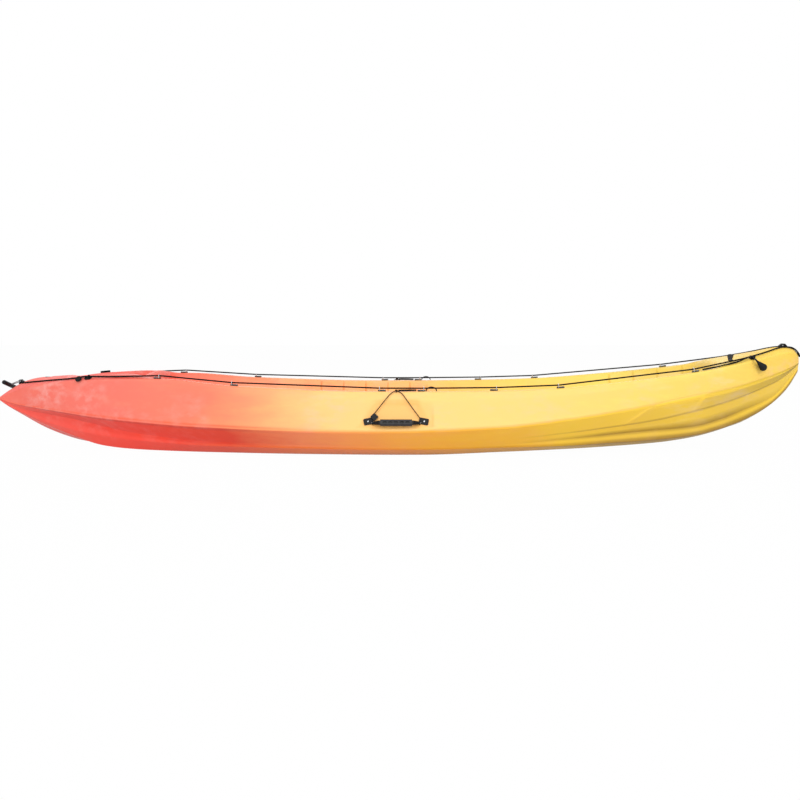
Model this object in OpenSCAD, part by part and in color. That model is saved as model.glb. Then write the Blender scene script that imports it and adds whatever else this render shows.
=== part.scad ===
// Tandem sit-on-top kayak with deck lines, carrying handles, toggles and a drain plug.
// X runs towards the bow, -Y is starboard, Z is up; the origin is on the ground under the middle of the hull.

/* [Hull] */
// Overall length of the hull
hull_length = 3750; // [3300:10:4200]
// Beam across the chines
hull_beam = 850; // [780:5:920]
// Height of the gunwale amidships
gunwale_height = 283; // [260:1:320]
// Width of the rim between the gunwale and the wells
rim_width = 42; // [36:1:55]
// Depth of the two grooves along the bottom
bottom_groove = 12; // [0:1:20]
// How far the bow's knuckle stands out of the topsides
bow_knuckle = 7; // [0:1:12]

/* [Wells] */
// Floor height of the footwells
foot_floor = 110; // [100:1:130]
// Floor height of the seats
seat_floor = 150; // [140:1:180]
// Floor height of the stern tank well
tank_floor = 225; // [200:1:260]
// Half width of the stern tank well
tank_half_width = 112; // [90:1:125]
// Height of the bulkhead between the rear footwell and the front seat
bulkhead_height = 235; // [215:1:250]
// How far the well walls lean in from rim to floor
wall_lean = 40; // [20:1:60]
// Depth of one footrest step in the well wall
step_depth = 22; // [8:1:30]
// Distance between footrest steps
step_pitch = 112; // [104:1:114]
// Height of the ledges beside the seats
ledge_height = 215; // [205:1:230]
// Half width of the seats between those ledges
seat_half_width = 230; // [200:1:240]
// Diameter of the scupper holes
scupper_d = 30; // [20:1:36]

/* [Side handles] */
// Distance between the two screws of a handle
handle_span = 237; // [225:1:260]
// Height of the handles over the ground
handle_height = 158; // [156:1:170]
// Length of the grip
grip_length = 133; // [110:1:140]
// Height of the grip
grip_height = 28; // [22:1:32]
// Thickness of the grip
grip_thick = 18; // [14:1:22]
// Distance of the grip's middle from the hull
grip_standoff = 30; // [27:1:40]
// Diameter of the pins that the grip swings on
pin_d = 5; // [4:0.5:6]
// Depth of the recess behind a handle
recess_depth = 10; // [8:1:16]

/* [Deck line] */
// Diameter of the deck line
line_d = 5; // [4:0.5:6]
// Length of a guide's base
guide_length = 34; // [32:1:44]
// Width of a guide's base
guide_width = 14; // [13:1:18]
// Height of a guide's base
guide_height = 5.5; // [5:0.5:9]
// Inner width of a guide's loop
loop_gap = 9; // [8:0.5:10]
// Diameter of a loop's wire
wire_d = 3; // [2.5:0.5:3.5]
// Height of the line over a guide's base
line_rise = 7; // [7:0.5:9]
// Diameter of the paddle keeper's bungee
bungee_d = 4; // [3:0.5:5]
// Diameter of the screw shanks
screw_d = 4; // [3:0.5:4.5]

/* [Bow and stern] */
// Length of the stern toggle
toggle_length = 102; // [80:1:120]
// Diameter of the stern toggle
toggle_d = 20; // [16:1:26]
// Diameter of the toggle cords
cord_d = 4; // [3:0.5:5]
// Length of the bow toggle
drop_length = 68; // [54:1:76]
// Diameter of the bow toggle
drop_d = 34; // [26:1:38]
// Width of the strap over the bow deck
strap_width = 36; // [24:1:40]
// Thickness of that strap
strap_thick = 2; // [1.5:0.5:3]
// Diameter of the tow eye in the bow fairlead
eye_d = 9; // [6:0.5:11]
// Diameter of the drain plug's head
plug_d = 36; // [32:1:42]
// Diameter of the drain plug's shank
shank_d = 22; // [16:1:24]
// Length of the drain plug's shank
shank_length = 18; // [12:1:22]

/* [Fits] */
// Gap between a piece and the surface that it is fastened to
seat_gap = 0.3; // [0.2:0.1:0.6]
// Gap round pins, screws and the plug's shank
fit_gap = 0.3; // [0.2:0.05:0.5]

/* [Hidden] */
$fn = 48;

// Lines plan, drawn for a hull of these sizes and stretched to the driving ones
plan_length = 3750;
plan_beam = 850;
plan_height = 283;
length_scale = hull_length / plan_length;
beam_scale = hull_beam / plan_beam;
height_scale = gunwale_height / plan_height;

// Keel profile: distance forward of the middle, height
keel_line = [[-1875, 212], [-1830, 180], [-1770, 145], [-1670, 87], [-1580, 49], [-1485, 21], [-1390, 8],
    [-1250, 1], [-1100, 0], [100, 0], [430, 9], [880, 19], [1160, 27], [1350, 46], [1570, 90], [1690, 147],
    [1780, 214], [1830, 267], [1875, 345]];
// Chine: half beam and height
chine_half = [[-1875, 4], [-1790, 22], [-1580, 100], [-1380, 170], [-1190, 230], [-1000, 280], [-860, 312],
    [-410, 392], [0, 425], [430, 415], [750, 380], [1010, 330], [1320, 250], [1500, 190], [1670, 120],
    [1790, 66], [1840, 38], [1875, 8]];
chine_line = [[-1875, 219], [-1790, 194], [-1580, 170], [-1380, 149], [-1190, 136], [-860, 121], [-410, 114],
    [0, 118], [430, 134], [750, 168], [1010, 205], [1320, 259], [1500, 288], [1670, 327],
    [1835, 374], [1875, 388]];
// Bilge crease: share of the chine's half beam, and height
bilge_share = [[-1875, 0.6], [-1490, 0.8], [-1140, 0.86], [0, 0.86], [430, 0.85], [760, 0.82], [1110, 0.75],
    [1330, 0.68], [1470, 0.6], [1620, 0.5], [1760, 0.45], [1875, 0.4]];
bilge_line = [[-1875, 216], [-1770, 174], [-1490, 136], [-1290, 100], [-1140, 79], [-860, 56], [-420, 49],
    [0, 46], [430, 52], [760, 74], [940, 88], [1110, 98], [1330, 108], [1470, 136], [1620, 183], [1715, 217],
    [1760, 242], [1875, 366]];
// Lower edge of the strip under the bilge crease, as a share of the height from keel to crease
strip_share = [[-1875, 0.5], [-400, 0.66], [430, 0.66], [760, 0.44], [1330, 0.4], [1875, 0.4]];
// How far the strip's lower edge stands out, as a share of the crease's half beam
strip_flare = [[-1875, 0.97], [430, 0.97], [800, 1], [1100, 1.05], [1600, 1.1], [1875, 1]];
// Deadrise of the bottom: 0 is flat, 1 a straight vee
deadrise = [[-1875, 1], [-1500, 0.6], [-1350, 0.2], [-1100, 0.05], [-800, 0], [200, 0], [800, 0.25],
    [1300, 0.6], [1600, 0.95], [1875, 1]];
// Bow knuckle: share of the height from bilge crease to chine, and how much of it stands out
knuckle_share = [[-1875, 0.4], [600, 0.3], [960, 0.33], [1155, 0.39], [1276, 0.48], [1453, 0.56],
    [1600, 0.59], [1694, 0.64], [1800, 0.67], [1875, 0.75]];
knuckle_swell = [[-1875, 0], [860, 0], [1100, 1], [1600, 1], [1840, 0], [1875, 0]];
// Gunwale: half width and height
gunwale_half = [[-1875, 3], [-1780, 26], [-1690, 60], [-1550, 108], [-1400, 158], [-1200, 214], [-1048, 247],
    [-715, 317], [-87, 368], [114, 374], [418, 376], [684, 360], [1000, 312], [1295, 250], [1500, 186],
    [1670, 116], [1790, 62], [1840, 36], [1875, 7]];
gunwale_line = [[-1875, 223], [-1780, 262], [-1690, 290], [-1550, 308], [-1400, 319], [-1200, 328],
    [-1048, 329], [-715, 303], [-87, 283], [114, 283], [418, 286], [684, 295], [1000, 322], [1295, 356],
    [1500, 388], [1670, 419], [1790, 441], [1835, 441], [1860, 427], [1875, 408]];
// Height of the deck's crown over the gunwale
crown_line = [[-1875, 4], [-1820, 18], [-1740, 30], [-1520, 22], [-1470, 40], [-1400, 50], [-1200, 46],
    [-1140, 30], [-1040, 20], [1300, 22], [1600, 23], [1780, 22], [1835, 16], [1875, 12]];

// Wells along the hull: distance forward, floor height, and how far the deck is let down to that floor
wells = [[-1520, tank_floor, 0], [-1470, tank_floor, 1], [-1180, tank_floor, 1], [-1140, tank_floor, 0],
    [-1125, seat_floor + 20, 0], [-1074, seat_floor + 10, 1], [-900, seat_floor, 1],
    [-700, seat_floor + 15, 1], [-630, foot_floor, 1], [110, foot_floor, 1], [150, bulkhead_height, 1], [195, bulkhead_height, 1],
    [255, seat_floor + 10, 1], [400, seat_floor, 1], [600, seat_floor + 15, 1], [680, foot_floor, 1],
    [1200, foot_floor + 10, 1], [1404, foot_floor + 40, 1], [1448, foot_floor + 90, 0]];
tank_front = -1140;
// Seats: where the ledges begin, reach their height, end and are gone
seats = [[-1074, 0], [-1010, 1], [-740, 1], [-650, 0], [255, 0], [320, 1], [570, 1], [660, 0]];
least_ledge = 34;
// First footrest step and number of steps in the rear and front footwells
footrests = [[-385, 5], [1060, 4]];
// Length over which a step's face is drawn
step_face = 6;
step_start = 0.01;

// Deck-line guides: distance forward, and which end of the base the loop stands at
guides = [[-1063, 1], [-709, -1], [-68, -1], [101, 1], [410, 1], [697, -1], [1314, -1]];

// Interpolation through a line's points, with slopes that never overshoot
function slope(a, b) = (b[1] - a[1]) / (b[0] - a[0]);
function tangent(line, i) =
    let (last = len(line) - 1)
    let (before = i > 0 ? slope(line[i - 1], line[i]) : slope(line[0], line[1]))
    let (after = i < last ? slope(line[i], line[i + 1]) : before)
    before * after <= 0 ? 0 : 2 * before * after / (before + after);
function span_index(line, x, i = 0) =
    i >= len(line) - 2 || x < line[i + 1][0] ? i : span_index(line, x, i + 1);
function along(line, x) =
    let (i = span_index(line, x))
    let (a = line[i], b = line[i + 1], run = b[0] - a[0])
    let (t = min(1, max(0, (x - a[0]) / run)))
    let (rise = b[1] - a[1])
    a[1] + rise * t * t * (3 - 2 * t)
        + run * t * (1 - t) * (tangent(line, i) * (1 - t) - tangent(line, i + 1) * t);
function straight(line, x, column) =
    let (i = span_index(line, x))
    let (a = line[i], b = line[i + 1])
    let (t = min(1, max(0, (x - a[0]) / (b[0] - a[0]))))
    a[column] + (b[column] - a[column]) * t;
function mix(a, b, t) = a + (b - a) * t;

// Share of a footrest step at a place: 1 just past a step's face, falling to 0 at the next one
function step_at(first, count, x) =
    let (past = (x - first) / step_pitch)
    past < 0 || past > count ? 0 : 1 - (past - floor(past));
function footrest_share(x) = max([for (f = footrests) step_at(f[0], f[1], x)]);

// Side recess behind a handle: a flat face, and where its lower and upper edges begin and end
handle_x = -7;
recess_margin = 42;
recess_taper = 56;
recess_edge = 17;
function recess_edges(half) =
    [for (e = [-half, recess_edge - half, half - recess_edge, half]) (handle_x + e) / length_scale];
recess_low = recess_edges(handle_span / 2 + recess_margin);
recess_high = recess_edges(handle_span / 2 + recess_margin - recess_taper);
function recessed(edges, x) = min(1, max(0, min(
    (x - edges[0]) / (edges[1] - edges[0]), (edges[3] - x) / (edges[3] - edges[2]))));
panel_foot = [0.10, 0.12];
panel_middle = 0.42;
panel_head = 0.70;
function middle_side(y, z) = [mix(along(chine_half, 0), along(gunwale_half, 0), y) * beam_scale,
    mix(along(chine_line, 0), along(gunwale_line, 0), z) * height_scale];
panel_low = middle_side(panel_foot[0], panel_foot[1]);
panel_high = middle_side(panel_head, panel_head);
panel_lean = atan2(panel_low[0] - panel_high[0], panel_high[1] - panel_low[1]);
recess_face = function (z) panel_low[0] - recess_depth - (z - panel_low[1]) * tan(panel_lean);
function panel_point(p, flat_z, share) = [mix(p[0], recess_face(flat_z), share), mix(p[1], flat_z, share)];

// Shape of the sections: shares of the half bottom where a groove begins, is deep and ends, and its runner
groove_shares = [0.26, 0.36, 0.58, 0.66];
runner_share = 0.85;
// Rounding of the chine: shares below it towards the bilge crease and above it towards the gunwale
chine_under = [0.94, 0.92];
chine_over = [0.01, 0.05];
// Top of the side panel, and the gunwale's tuck, fall and rounding
panel_top = 0.78;
gunwale_tuck = 0.06;
gunwale_fall = 16;
gunwale_round = [1, 5];
rim_outer = 8;
rim_inner = 6;
// Half width of the deck under which the rim and its rounding shrink towards the tips
fade_width = 70;
// Well walls: share of a footrest step at the rim, least floor, cover over the bilge, and where a wall bends
step_top_share = 0.6;
least_floor = 5;
bilge_cover = 40;
hip_shares = [0.45, 0.4];
hip_round = 0.1;
ledge_share = 0.5;
wall_drop = 8;
ledge_round = 4;
seat_corner = 14;
seat_edge = 34;
floor_corner = [0.15, 0.1];
floor_dish = [3, 4];
// Where the points of a well wall and floor lie on a deck without a well, as shares of its half width
deck_shares = [0.96, 0.84, 0.74, 0.62, 0.5, 0.25];
function gunwale_at(x) = along(gunwale_half, x) * beam_scale;

// Half section of the hull at plan distance x: keel, bottom, topsides, gunwale, well wall and floor
function half_section(x) =
    let (keel_z = along(keel_line, x) * height_scale)
    let (chine_y = along(chine_half, x) * beam_scale, chine_z = along(chine_line, x) * height_scale)
    let (bilge_y = chine_y * along(bilge_share, x), bilge_z = along(bilge_line, x) * height_scale)
    let (strip_z = mix(keel_z, bilge_z, along(strip_share, x)), strip_y = bilge_y * along(strip_flare, x))
    let (gun_y = gunwale_at(x), gun_z = along(gunwale_line, x) * height_scale)
    let (fade = min(1, gun_y / fade_width))
    let (vee = along(deadrise, x) * (strip_z - keel_z))
    let (groove = bottom_groove * (1 - along(deadrise, x)) * fade)
    let (swell = bow_knuckle * along(knuckle_swell, x), knuckle = along(knuckle_share, x))
    let (crown = along(crown_line, x) * height_scale)
    let (down = straight(wells, x, 2), floor_z = straight(wells, x, 1))
    let (step = step_depth * footrest_share(x))
    let (rim = rim_width * fade, rim_y = gun_y - rim + rim_inner * fade)
    let (well_y = min(gun_y - rim, x < tank_front ? tank_half_width : gun_y) - step * step_top_share)
    let (floor_limit = min(well_y - wall_lean, bilge_y - bilge_cover))
    let (floor_y = max(least_floor, floor_limit - step * (1 - step_top_share)))
    let (ledge = straight(seats, x, 1) * down)
    let (seat_y = min(seat_half_width * beam_scale, well_y - least_ledge))
    let (hip_y = mix(mix(floor_y, well_y, hip_shares[0]), seat_y, ledge))
    let (hip_z = mix(mix(floor_z, gun_z, hip_shares[1]), ledge_height, ledge))
    let (corner_y = mix(mix(floor_y, well_y, floor_corner[0]), hip_y - seat_corner, ledge))
    let (bottom = function (share, depth) [strip_y * share, keel_z + vee * share + groove * depth])
    let (side = function (y, z) [mix(chine_y, gun_y, y), mix(chine_z, gun_z, z)])
    let (deck = function (y) gun_z + crown * (1 - pow(y / gun_y, 2)))
    let (wall = function (deck_y, y, z) [mix(deck_y, y, down), mix(deck(deck_y), z, down)])
    let (edge_z = function (y) x < tank_front ? deck(y) : gun_z)
    [
        [0, keel_z],
        bottom(groove_shares[0], 0),
        bottom(groove_shares[1], 1),
        bottom(groove_shares[2], 1),
        bottom(groove_shares[3], 0),
        bottom(runner_share, 0),
        [strip_y, strip_z],
        [bilge_y, bilge_z],
        [mix(bilge_y, chine_y, knuckle) + swell, mix(bilge_z, chine_z, knuckle)],
        [mix(bilge_y, chine_y, chine_under[0]), mix(bilge_z, chine_z, chine_under[1])],
        side(chine_over[0], chine_over[1]),
        panel_point(side(panel_foot[0], panel_foot[1]), panel_low[1], recessed(recess_low, x)),
        panel_point(side(panel_middle, panel_middle), (panel_low[1] + panel_high[1]) / 2,
            recessed(recess_low, x)),
        panel_point(side(panel_head, panel_head), panel_high[1], recessed(recess_high, x)),
        side(panel_top, panel_top),
        [mix(gun_y, chine_y, gunwale_tuck), gun_z - gunwale_fall * fade],
        [gun_y - gunwale_round[0] * fade, gun_z - gunwale_round[1] * fade],
        [gun_y - rim_outer * fade, gun_z],
        wall(rim_y, rim_y, edge_z(rim_y)),
        wall(well_y * deck_shares[0], well_y, edge_z(well_y) - wall_drop * fade),
        wall(well_y * deck_shares[1], mix(hip_y, well_y, mix(hip_round, ledge_share, ledge)),
            hip_z + ledge_round * ledge),
        wall(well_y * deck_shares[2], mix(hip_y, floor_y, hip_round), hip_z - ledge_round * ledge),
        wall(well_y * deck_shares[3], corner_y, mix(floor_z, gun_z, floor_corner[1])),
        wall(well_y * deck_shares[4], mix(floor_y - rim_outer * fade, hip_y - seat_edge, ledge), floor_z),
        wall(well_y * deck_shares[5], mix(floor_y, hip_y, ledge) / 2, floor_z - floor_dish[0]),
        [0, mix(gun_z + crown, floor_z - floor_dish[1], down)],
    ];

// Full section loop at plan distance x, as points in space
function section(x) =
    let (half = half_section(x), last = len(half) - 1)
    let (loop = concat(half, [for (k = [last - 1:-1:1]) [-half[k][0], half[k][1]]]))
    [for (p = loop) [x * length_scale, p[0], p[1]]];

// Stations: where a well, a step or a fitting needs one, and a plain row filling the rest
step_stations = [for (f = footrests, k = [0:f[1] - 1], side = [-1, 0])
    f[0] + k * step_pitch + (side < 0 ? -step_face : step_start)];
well_stations = [for (w = wells) w[0]];
end_stations = [-1868, -1855, -1835, -1810, -1780, -1745, -1700,
    1700, 1745, 1780, 1810, 1835, 1852, 1864, 1871];
seat_stations = [-1010, -740, 320, 570];
recess_stations = concat(recess_low, recess_high);
anchor_stations = [1590, 1622];
fixed_stations = concat(anchor_stations, step_stations, well_stations, end_stations, seat_stations,
    recess_stations);
station_gap = 45;
row_start = -1640;
row_end = 1690;
row_pitch = 110;
row_stations = [for (x = [row_start:row_pitch:row_end])
    if (min([for (s = fixed_stations) abs(s - x)]) > station_gap) x];
function sorted(list) =
    len(list) <= 1 ? list :
    let (pivot = list[floor(len(list) / 2)])
    concat(sorted([for (v = list) if (v < pivot) v]), [pivot], sorted([for (v = list) if (v > pivot) v]));
stations = sorted(concat(fixed_stations, row_stations));

// Heights of the stern and bow tips in the lines plan
tip_heights = [220, 386];
// Closed skin through the section loops, with a point at each end
module hull_solid() {
    rings = [for (x = stations) section(x)];
    n = len(rings[0]);
    rows = len(rings);
    stern_tip = rows * n;
    tips = [[-hull_length / 2, 0, tip_heights[0] * height_scale],
        [hull_length / 2, 0, tip_heights[1] * height_scale]];
    sides = [for (i = [0:rows - 2], j = [0:n - 1], half = [0, 1])
        let (a = i * n + j, b = i * n + (j + 1) % n)
        j >= n / 2 ? (half == 0 ? [a, a + n, b] : [b, a + n, b + n])
            : (half == 0 ? [a, a + n, b + n] : [a, b + n, b])];
    caps = [for (j = [0:n - 1], end = [0, 1])
        let (k = (j + 1) % n, base = (rows - 1) * n)
        end == 0 ? [stern_tip, j, k] : [stern_tip + 1, base + k, base + j]];
    polyhedron(concat([for (r = rings) each r], tips), concat(sides, caps));
}

// Height of the hull's upper side at plan distance x and offset y, on its flat facets
first_top_point = 17;
function station_before(x, i = 0) =
    i >= len(stations) - 2 || x < stations[i + 1] ? i : station_before(x, i + 1);
function deck_z(x, y) =
    let (i = station_before(x), a = stations[i], b = stations[i + 1], t = (x - a) / (b - a))
    let (half_a = half_section(a), half_b = half_section(b))
    let (top = [for (k = [len(half_a) - 1:-1:first_top_point]) mix(half_a[k], half_b[k], t)])
    straight(top, abs(y), 1);
// Offset of the guides and their line from the middle line
guide_share = 0.45;
function rim_y(x) = gunwale_at(x) - rim_width * guide_share;

// Puts a piece on the hull's upper side, square to it; y is negative to starboard
probe = 8;
module on_deck(x, y, yaw = 0) {
    translate([x * length_scale, y, deck_z(x, y) + seat_gap])
        rotate([deck_roll(x, y), deck_pitch(x, y), 0])
            rotate(yaw)
                children();
}
// The same place as numbers: the point at height h over the hull, square to it
function deck_roll(x, y) = atan2(deck_z(x, y + probe) - deck_z(x, y - probe), 2 * probe);
function deck_pitch(x, y) = -atan2(deck_z(x + probe, y) - deck_z(x - probe, y), 2 * probe * length_scale);
function deck_point(x, y, h) =
    let (roll = deck_roll(x, y), pitch = deck_pitch(x, y))
    [x * length_scale, y, deck_z(x, y) + seat_gap]
        + h * [cos(roll) * sin(pitch), -sin(roll), cos(roll) * cos(pitch)];

// Runs its children on starboard (-1) as drawn, or mirrored to port (1)
module on_side(side) {
    mirror([0, side > 0 ? 1 : 0, 0]) children();
}

// A cord through a list of points, swept with round rings; up is a direction that the cord never takes
function unit(v) = v / norm(v);
function cord_tangent(route, i) = unit(route[min(i + 1, len(route) - 1)] - route[max(i - 1, 0)]);
function cord_ring(p, t, d, sides, up) =
    let (a = unit(cross(t, up)), b = cross(a, t))
    [for (k = [0:sides - 1]) p + d / 2 * (a * cos(360 * k / sides) + b * sin(360 * k / sides))];
module cord(route, sizes, sides = 8, up = [0, 0, 1], last_way = undef) {
    rows = len(route);
    points = [for (i = [0:rows - 1])
        let (t = i == rows - 1 && last_way != undef ? last_way : cord_tangent(route, i))
        each cord_ring(route[i], t, sizes[i], sides, up)];
    walls = [for (i = [0:rows - 2], k = [0:sides - 1], half = [0, 1])
        let (a = i * sides + k, b = i * sides + (k + 1) % sides)
        half == 0 ? [a, b, a + sides] : [b, b + sides, a + sides]];
    first = [for (k = [sides - 1:-1:0]) k];
    last = [for (k = [0:sides - 1]) (rows - 1) * sides + k];
    polyhedron(points, concat(walls, [first, last]));
}

// Flat bar with round ends, lying on the XY plane
module stadium(length, width) {
    square([length - width, width], center = true);
    for (end = [-1, 1]) translate([end * (length - width) / 2, 0]) circle(d = width);
}

// Deck-line guides
screw_head_d = screw_d * 2;
screw_head_top = screw_d * 1.4;
screw_head_h = screw_d * 0.6;
screw_depth = 12;
hole_depth = screw_depth + 1;
hole_over = 18;
cut = 1;
loop_end = guide_length / 2 - guide_width / 2;
leg_hole_d = wire_d + 2 * fit_gap;
leg_floor = 2;
leg_depth = guide_height - leg_floor;
leg_spread = (loop_gap + wire_d) / 2;
function guide_yaw(x) = atan2(rim_y(x + probe) - rim_y(x - probe), 2 * probe * length_scale);
module at_guides() {
    for (g = guides) on_deck(g[0], -rim_y(g[0]), -guide_yaw(g[0])) turned_to(g[1]) children();
}
module turned_to(way) {
    mirror([way < 0 ? 1 : 0, 0, 0]) children();
}
module guide_base() {
    difference() {
        linear_extrude(guide_height) stadium(guide_length, guide_width);
        for (leg = [-1, 1])
            translate([loop_end, leg * leg_spread, guide_height - leg_depth])
                cylinder(d = leg_hole_d, h = guide_height);
        translate([-loop_end, 0, -cut]) cylinder(d = screw_d + 2 * fit_gap, h = guide_height + 2 * cut);
    }
}
module guide_loop() {
    leg_foot = guide_height - leg_depth + seat_gap;
    arch_z = guide_height + line_rise;
    for (leg = [-1, 1])
        translate([loop_end, leg * leg_spread, leg_foot]) cylinder(d = wire_d, h = arch_z - leg_foot);
    translate([loop_end, 0, arch_z])
        rotate([90, 0, 90])
            rotate_extrude(angle = 180)
                translate([leg_spread, 0]) circle(d = wire_d);
}
module screw(grip) {
    translate([0, 0, -screw_depth]) cylinder(d = screw_d, h = grip + screw_depth + screw_head_h / 2);
    translate([0, 0, grip + seat_gap]) cylinder(d1 = screw_head_d, d2 = screw_head_top, h = screw_head_h);
}
module guide_bases(side) {
    color([0.12, 0.12, 0.13]) on_side(side) at_guides() guide_base();
}
module guide_loops(side) {
    color("silver") on_side(side) at_guides() guide_loop();
}
module guide_screws(side) {
    color("silver") on_side(side) at_guides() translate([-loop_end, 0, 0]) screw(guide_height);
}
module guide_screw_holes(side) {
    on_side(side) at_guides()
        translate([-loop_end, 0, -hole_depth])
            cylinder(d = screw_d + 2 * fit_gap, h = hole_depth + hole_over);
}

// Side handle, in a frame on the recess: X along the hull, -Y outwards, Z up the panel
plate_thick = 5;
plate_length = 41;
plate_height = 28;
plate_round = 5;
plate_shift = 2;
ear_width = 6;
ear_round = 13;
eye_width = 10;
pin_over = 1;
eye_round = 12;
pivot_out = 12;
pivot_drop = 8;
grip_drop = 11;
foot_turn = 11;
slot_count = 5;
slot_height = 9;
slot_depth = 6;
rib_width = 5;
slot_margin = 7;
grip_round = 7.5;
// Straps: thickness and height at the eye and at the grip
strap_eye = [6, 12];
strap_grip = [8, 18];
strap_end = 6;
plate_face = plate_thick + seat_gap;
ear_x = plate_length / 2 + plate_shift - ear_width;
eye_x = ear_x + ear_width + fit_gap;
module at_handle() {
    translate([handle_x, -recess_face(handle_height), handle_height]) rotate([-panel_lean, 0, 0]) children();
}
// The two ends of a handle: the aft one as drawn, the fore one mirrored
module at_feet() {
    for (end = [0, 1]) mirror([end, 0, 0]) translate([-handle_span / 2, 0, 0]) children();
}
module rounded_plate(length, height, round) {
    square([length - 2 * round, height], center = true);
    square([length, height - 2 * round], center = true);
    for (x = [-1, 1], y = [-1, 1])
        translate([x * (length / 2 - round), y * (height / 2 - round)]) circle(r = round);
}
// A cylinder along X that starts at x, round the swing axis
module swing_cylinder(x, d, length) {
    translate([x, -pivot_out, -pivot_drop]) rotate([0, 90, 0]) cylinder(d = d, h = length);
}
module handle_foot() {
    difference() {
        union() {
            rotate([90, -foot_turn, 0])
                translate([plate_shift, 0, seat_gap])
                    linear_extrude(plate_thick) rounded_plate(plate_length, plate_height, plate_round);
            swing_cylinder(ear_x, ear_round, ear_width);
            translate([ear_x, -pivot_out, -pivot_drop - ear_round / 2])
                cube([ear_width, pivot_out - plate_thick, ear_round]);
        }
        swing_cylinder(ear_x - cut, pin_d + 2 * fit_gap, ear_width + 2 * cut);
        rotate([90, 0, 0])
            translate([0, 0, -cut]) cylinder(d = screw_d + 2 * fit_gap, h = plate_face + 2 * cut);
    }
}
module handle_pin() {
    swing_cylinder(ear_x - pin_over, pin_d, ear_width + eye_width + fit_gap + 2 * pin_over);
}
module handle_screw() {
    translate([0, -seat_gap, 0]) rotate([90, 0, 0]) screw(plate_thick);
}
// A strap: an eye on the pin, and a limb that widens up to the grip's end
module handle_strap() {
    grip_end = (handle_span - grip_length) / 2 - seat_gap;
    difference() {
        union() {
            swing_cylinder(eye_x, eye_round, eye_width);
            hull() {
                translate([eye_x, -pivot_out - strap_eye[0] / 2, -pivot_drop - strap_eye[1] / 2])
                    cube([eye_width, strap_eye[0], strap_eye[1]]);
                translate([grip_end - strap_end, -grip_standoff, -grip_drop])
                    translate([0, -strap_grip[0] / 2, -strap_grip[1] / 2])
                        cube([strap_end, strap_grip[0], strap_grip[1]]);
            }
        }
        swing_cylinder(eye_x - cut, pin_d + 2 * fit_gap, eye_width + 2 * cut);
    }
}
module grip_slots() {
    slot_pitch = (grip_length - 2 * slot_margin) / slot_count;
    for (k = [0:slot_count - 1])
        translate([(k - (slot_count - 1) / 2) * slot_pitch, 0, 0])
            rotate([90, 0, 0])
                translate([0, 0, grip_thick / 2 - slot_depth])
                    linear_extrude(slot_depth + cut) stadium(slot_pitch - rib_width, slot_height);
}
module grip_bar() {
    translate([0, -grip_standoff, -grip_drop])
        difference() {
            rotate([90, 0, 90])
                linear_extrude(grip_length, center = true)
                    rounded_plate(grip_thick, grip_height, grip_round);
            grip_slots();
        }
}
module handle_feet(side) {
    color([0.1, 0.1, 0.11]) on_side(side) at_handle() at_feet() handle_foot();
}
module handle_pins(side) {
    color("dimgray") on_side(side) at_handle() at_feet() handle_pin();
}
module handle_screws(side) {
    color("silver") on_side(side) at_handle() at_feet() handle_screw();
}
module handle_screw_holes(side) {
    on_side(side) at_handle() at_feet()
        translate([0, hole_depth, 0])
            rotate([90, 0, 0]) cylinder(d = screw_d + 2 * fit_gap, h = hole_depth + hole_over);
}
module handle_straps(side) {
    color([0.1, 0.1, 0.11]) on_side(side) at_handle() at_feet() handle_strap();
}
module handle_grip(side) {
    color([0.08, 0.08, 0.09]) on_side(side) at_handle() grip_bar();
}

// Paddle keeper: a square knob on the aft foot, a bungee over the side panel and a cord and hook on the rim
knob_size = 25;
knob_round = 3;
knob_thick = 10;
knob_from_screw = 27;
knob_rise = 18;
module paddle_knob(side) {
    color([0.09, 0.09, 0.1]) on_side(side) at_handle()
        translate([knob_from_screw - handle_span / 2, -plate_face - seat_gap, knob_rise])
            rotate([90, 45, 0])
                linear_extrude(knob_thick) rounded_plate(knob_size, knob_size, knob_round);
}
// Bungee: distance forward of the handle's middle, share of the height from handle to gunwale, standoff
knob_end = knob_from_screw - handle_span / 2;
bungee_foot = 1.5;
bungee_plan = [[knob_end + bungee_foot, 0.2875, 0.7], [-60, 0.59, 6.2], [-40, 0.79, 7.2], [-28, 0.9, 6.8],
    [-14, 0.99, 5.4], [1, 1.03, 4], [15, 0.99, 5.4], [27, 0.92, 6.8], [40, 0.78, 7.6], [62, 0.53, 5],
    [93, 0.2, 0.5]];
function side_y(z) =
    let (low = middle_side(0, 0), high = middle_side(1, 1))
    mix(low[0], high[0], (z - low[1]) / (high[1] - low[1]));
bungee_route = [for (b = bungee_plan)
    let (z = mix(handle_height, gunwale_height, b[1]))
    [handle_x + b[0], -side_y(z) - b[2], z]];
knot_index = 5;
knot_d = 9;
module paddle_bungee(side) {
    sizes = [for (i = [0:len(bungee_route) - 1]) i == knot_index ? knot_d : bungee_d];
    color([0.15, 0.1, 0.06]) on_side(side) cord(bungee_route, sizes, up = [0, 1, 0.35]);
}
keeper_d = 8;
keeper_gap = 0.5;
keeper_steps = 3;
keeper_start = 2;
keeper_insets = [5, 17];
keeper_from_guide = 5;
keeper_end = guides[3][0] * length_scale - guide_length / 2 - keeper_from_guide;
keeper_route = [for (k = [0:keeper_steps])
    let (s = k / keeper_steps, x = mix(keeper_start, keeper_end, s) / length_scale)
    let (y = mix(keeper_insets[0], keeper_insets[1], s) - gunwale_at(x))
    [x * length_scale, y, deck_z(x, y) + keeper_d / 2 + keeper_gap]];
module keeper_cord(side) {
    sizes = [for (p = keeper_route) keeper_d];
    color([0.07, 0.07, 0.08]) on_side(side) cord(keeper_route, sizes);
}
hook_x = 143;
hook_d = 5;
hook_half = 22;
hook_height = guide_height + line_rise + line_d;
hook_offset = (line_d + hook_d) / 2 + 1;
hook_gap = 0.7;
hook_steps = 12;
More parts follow.
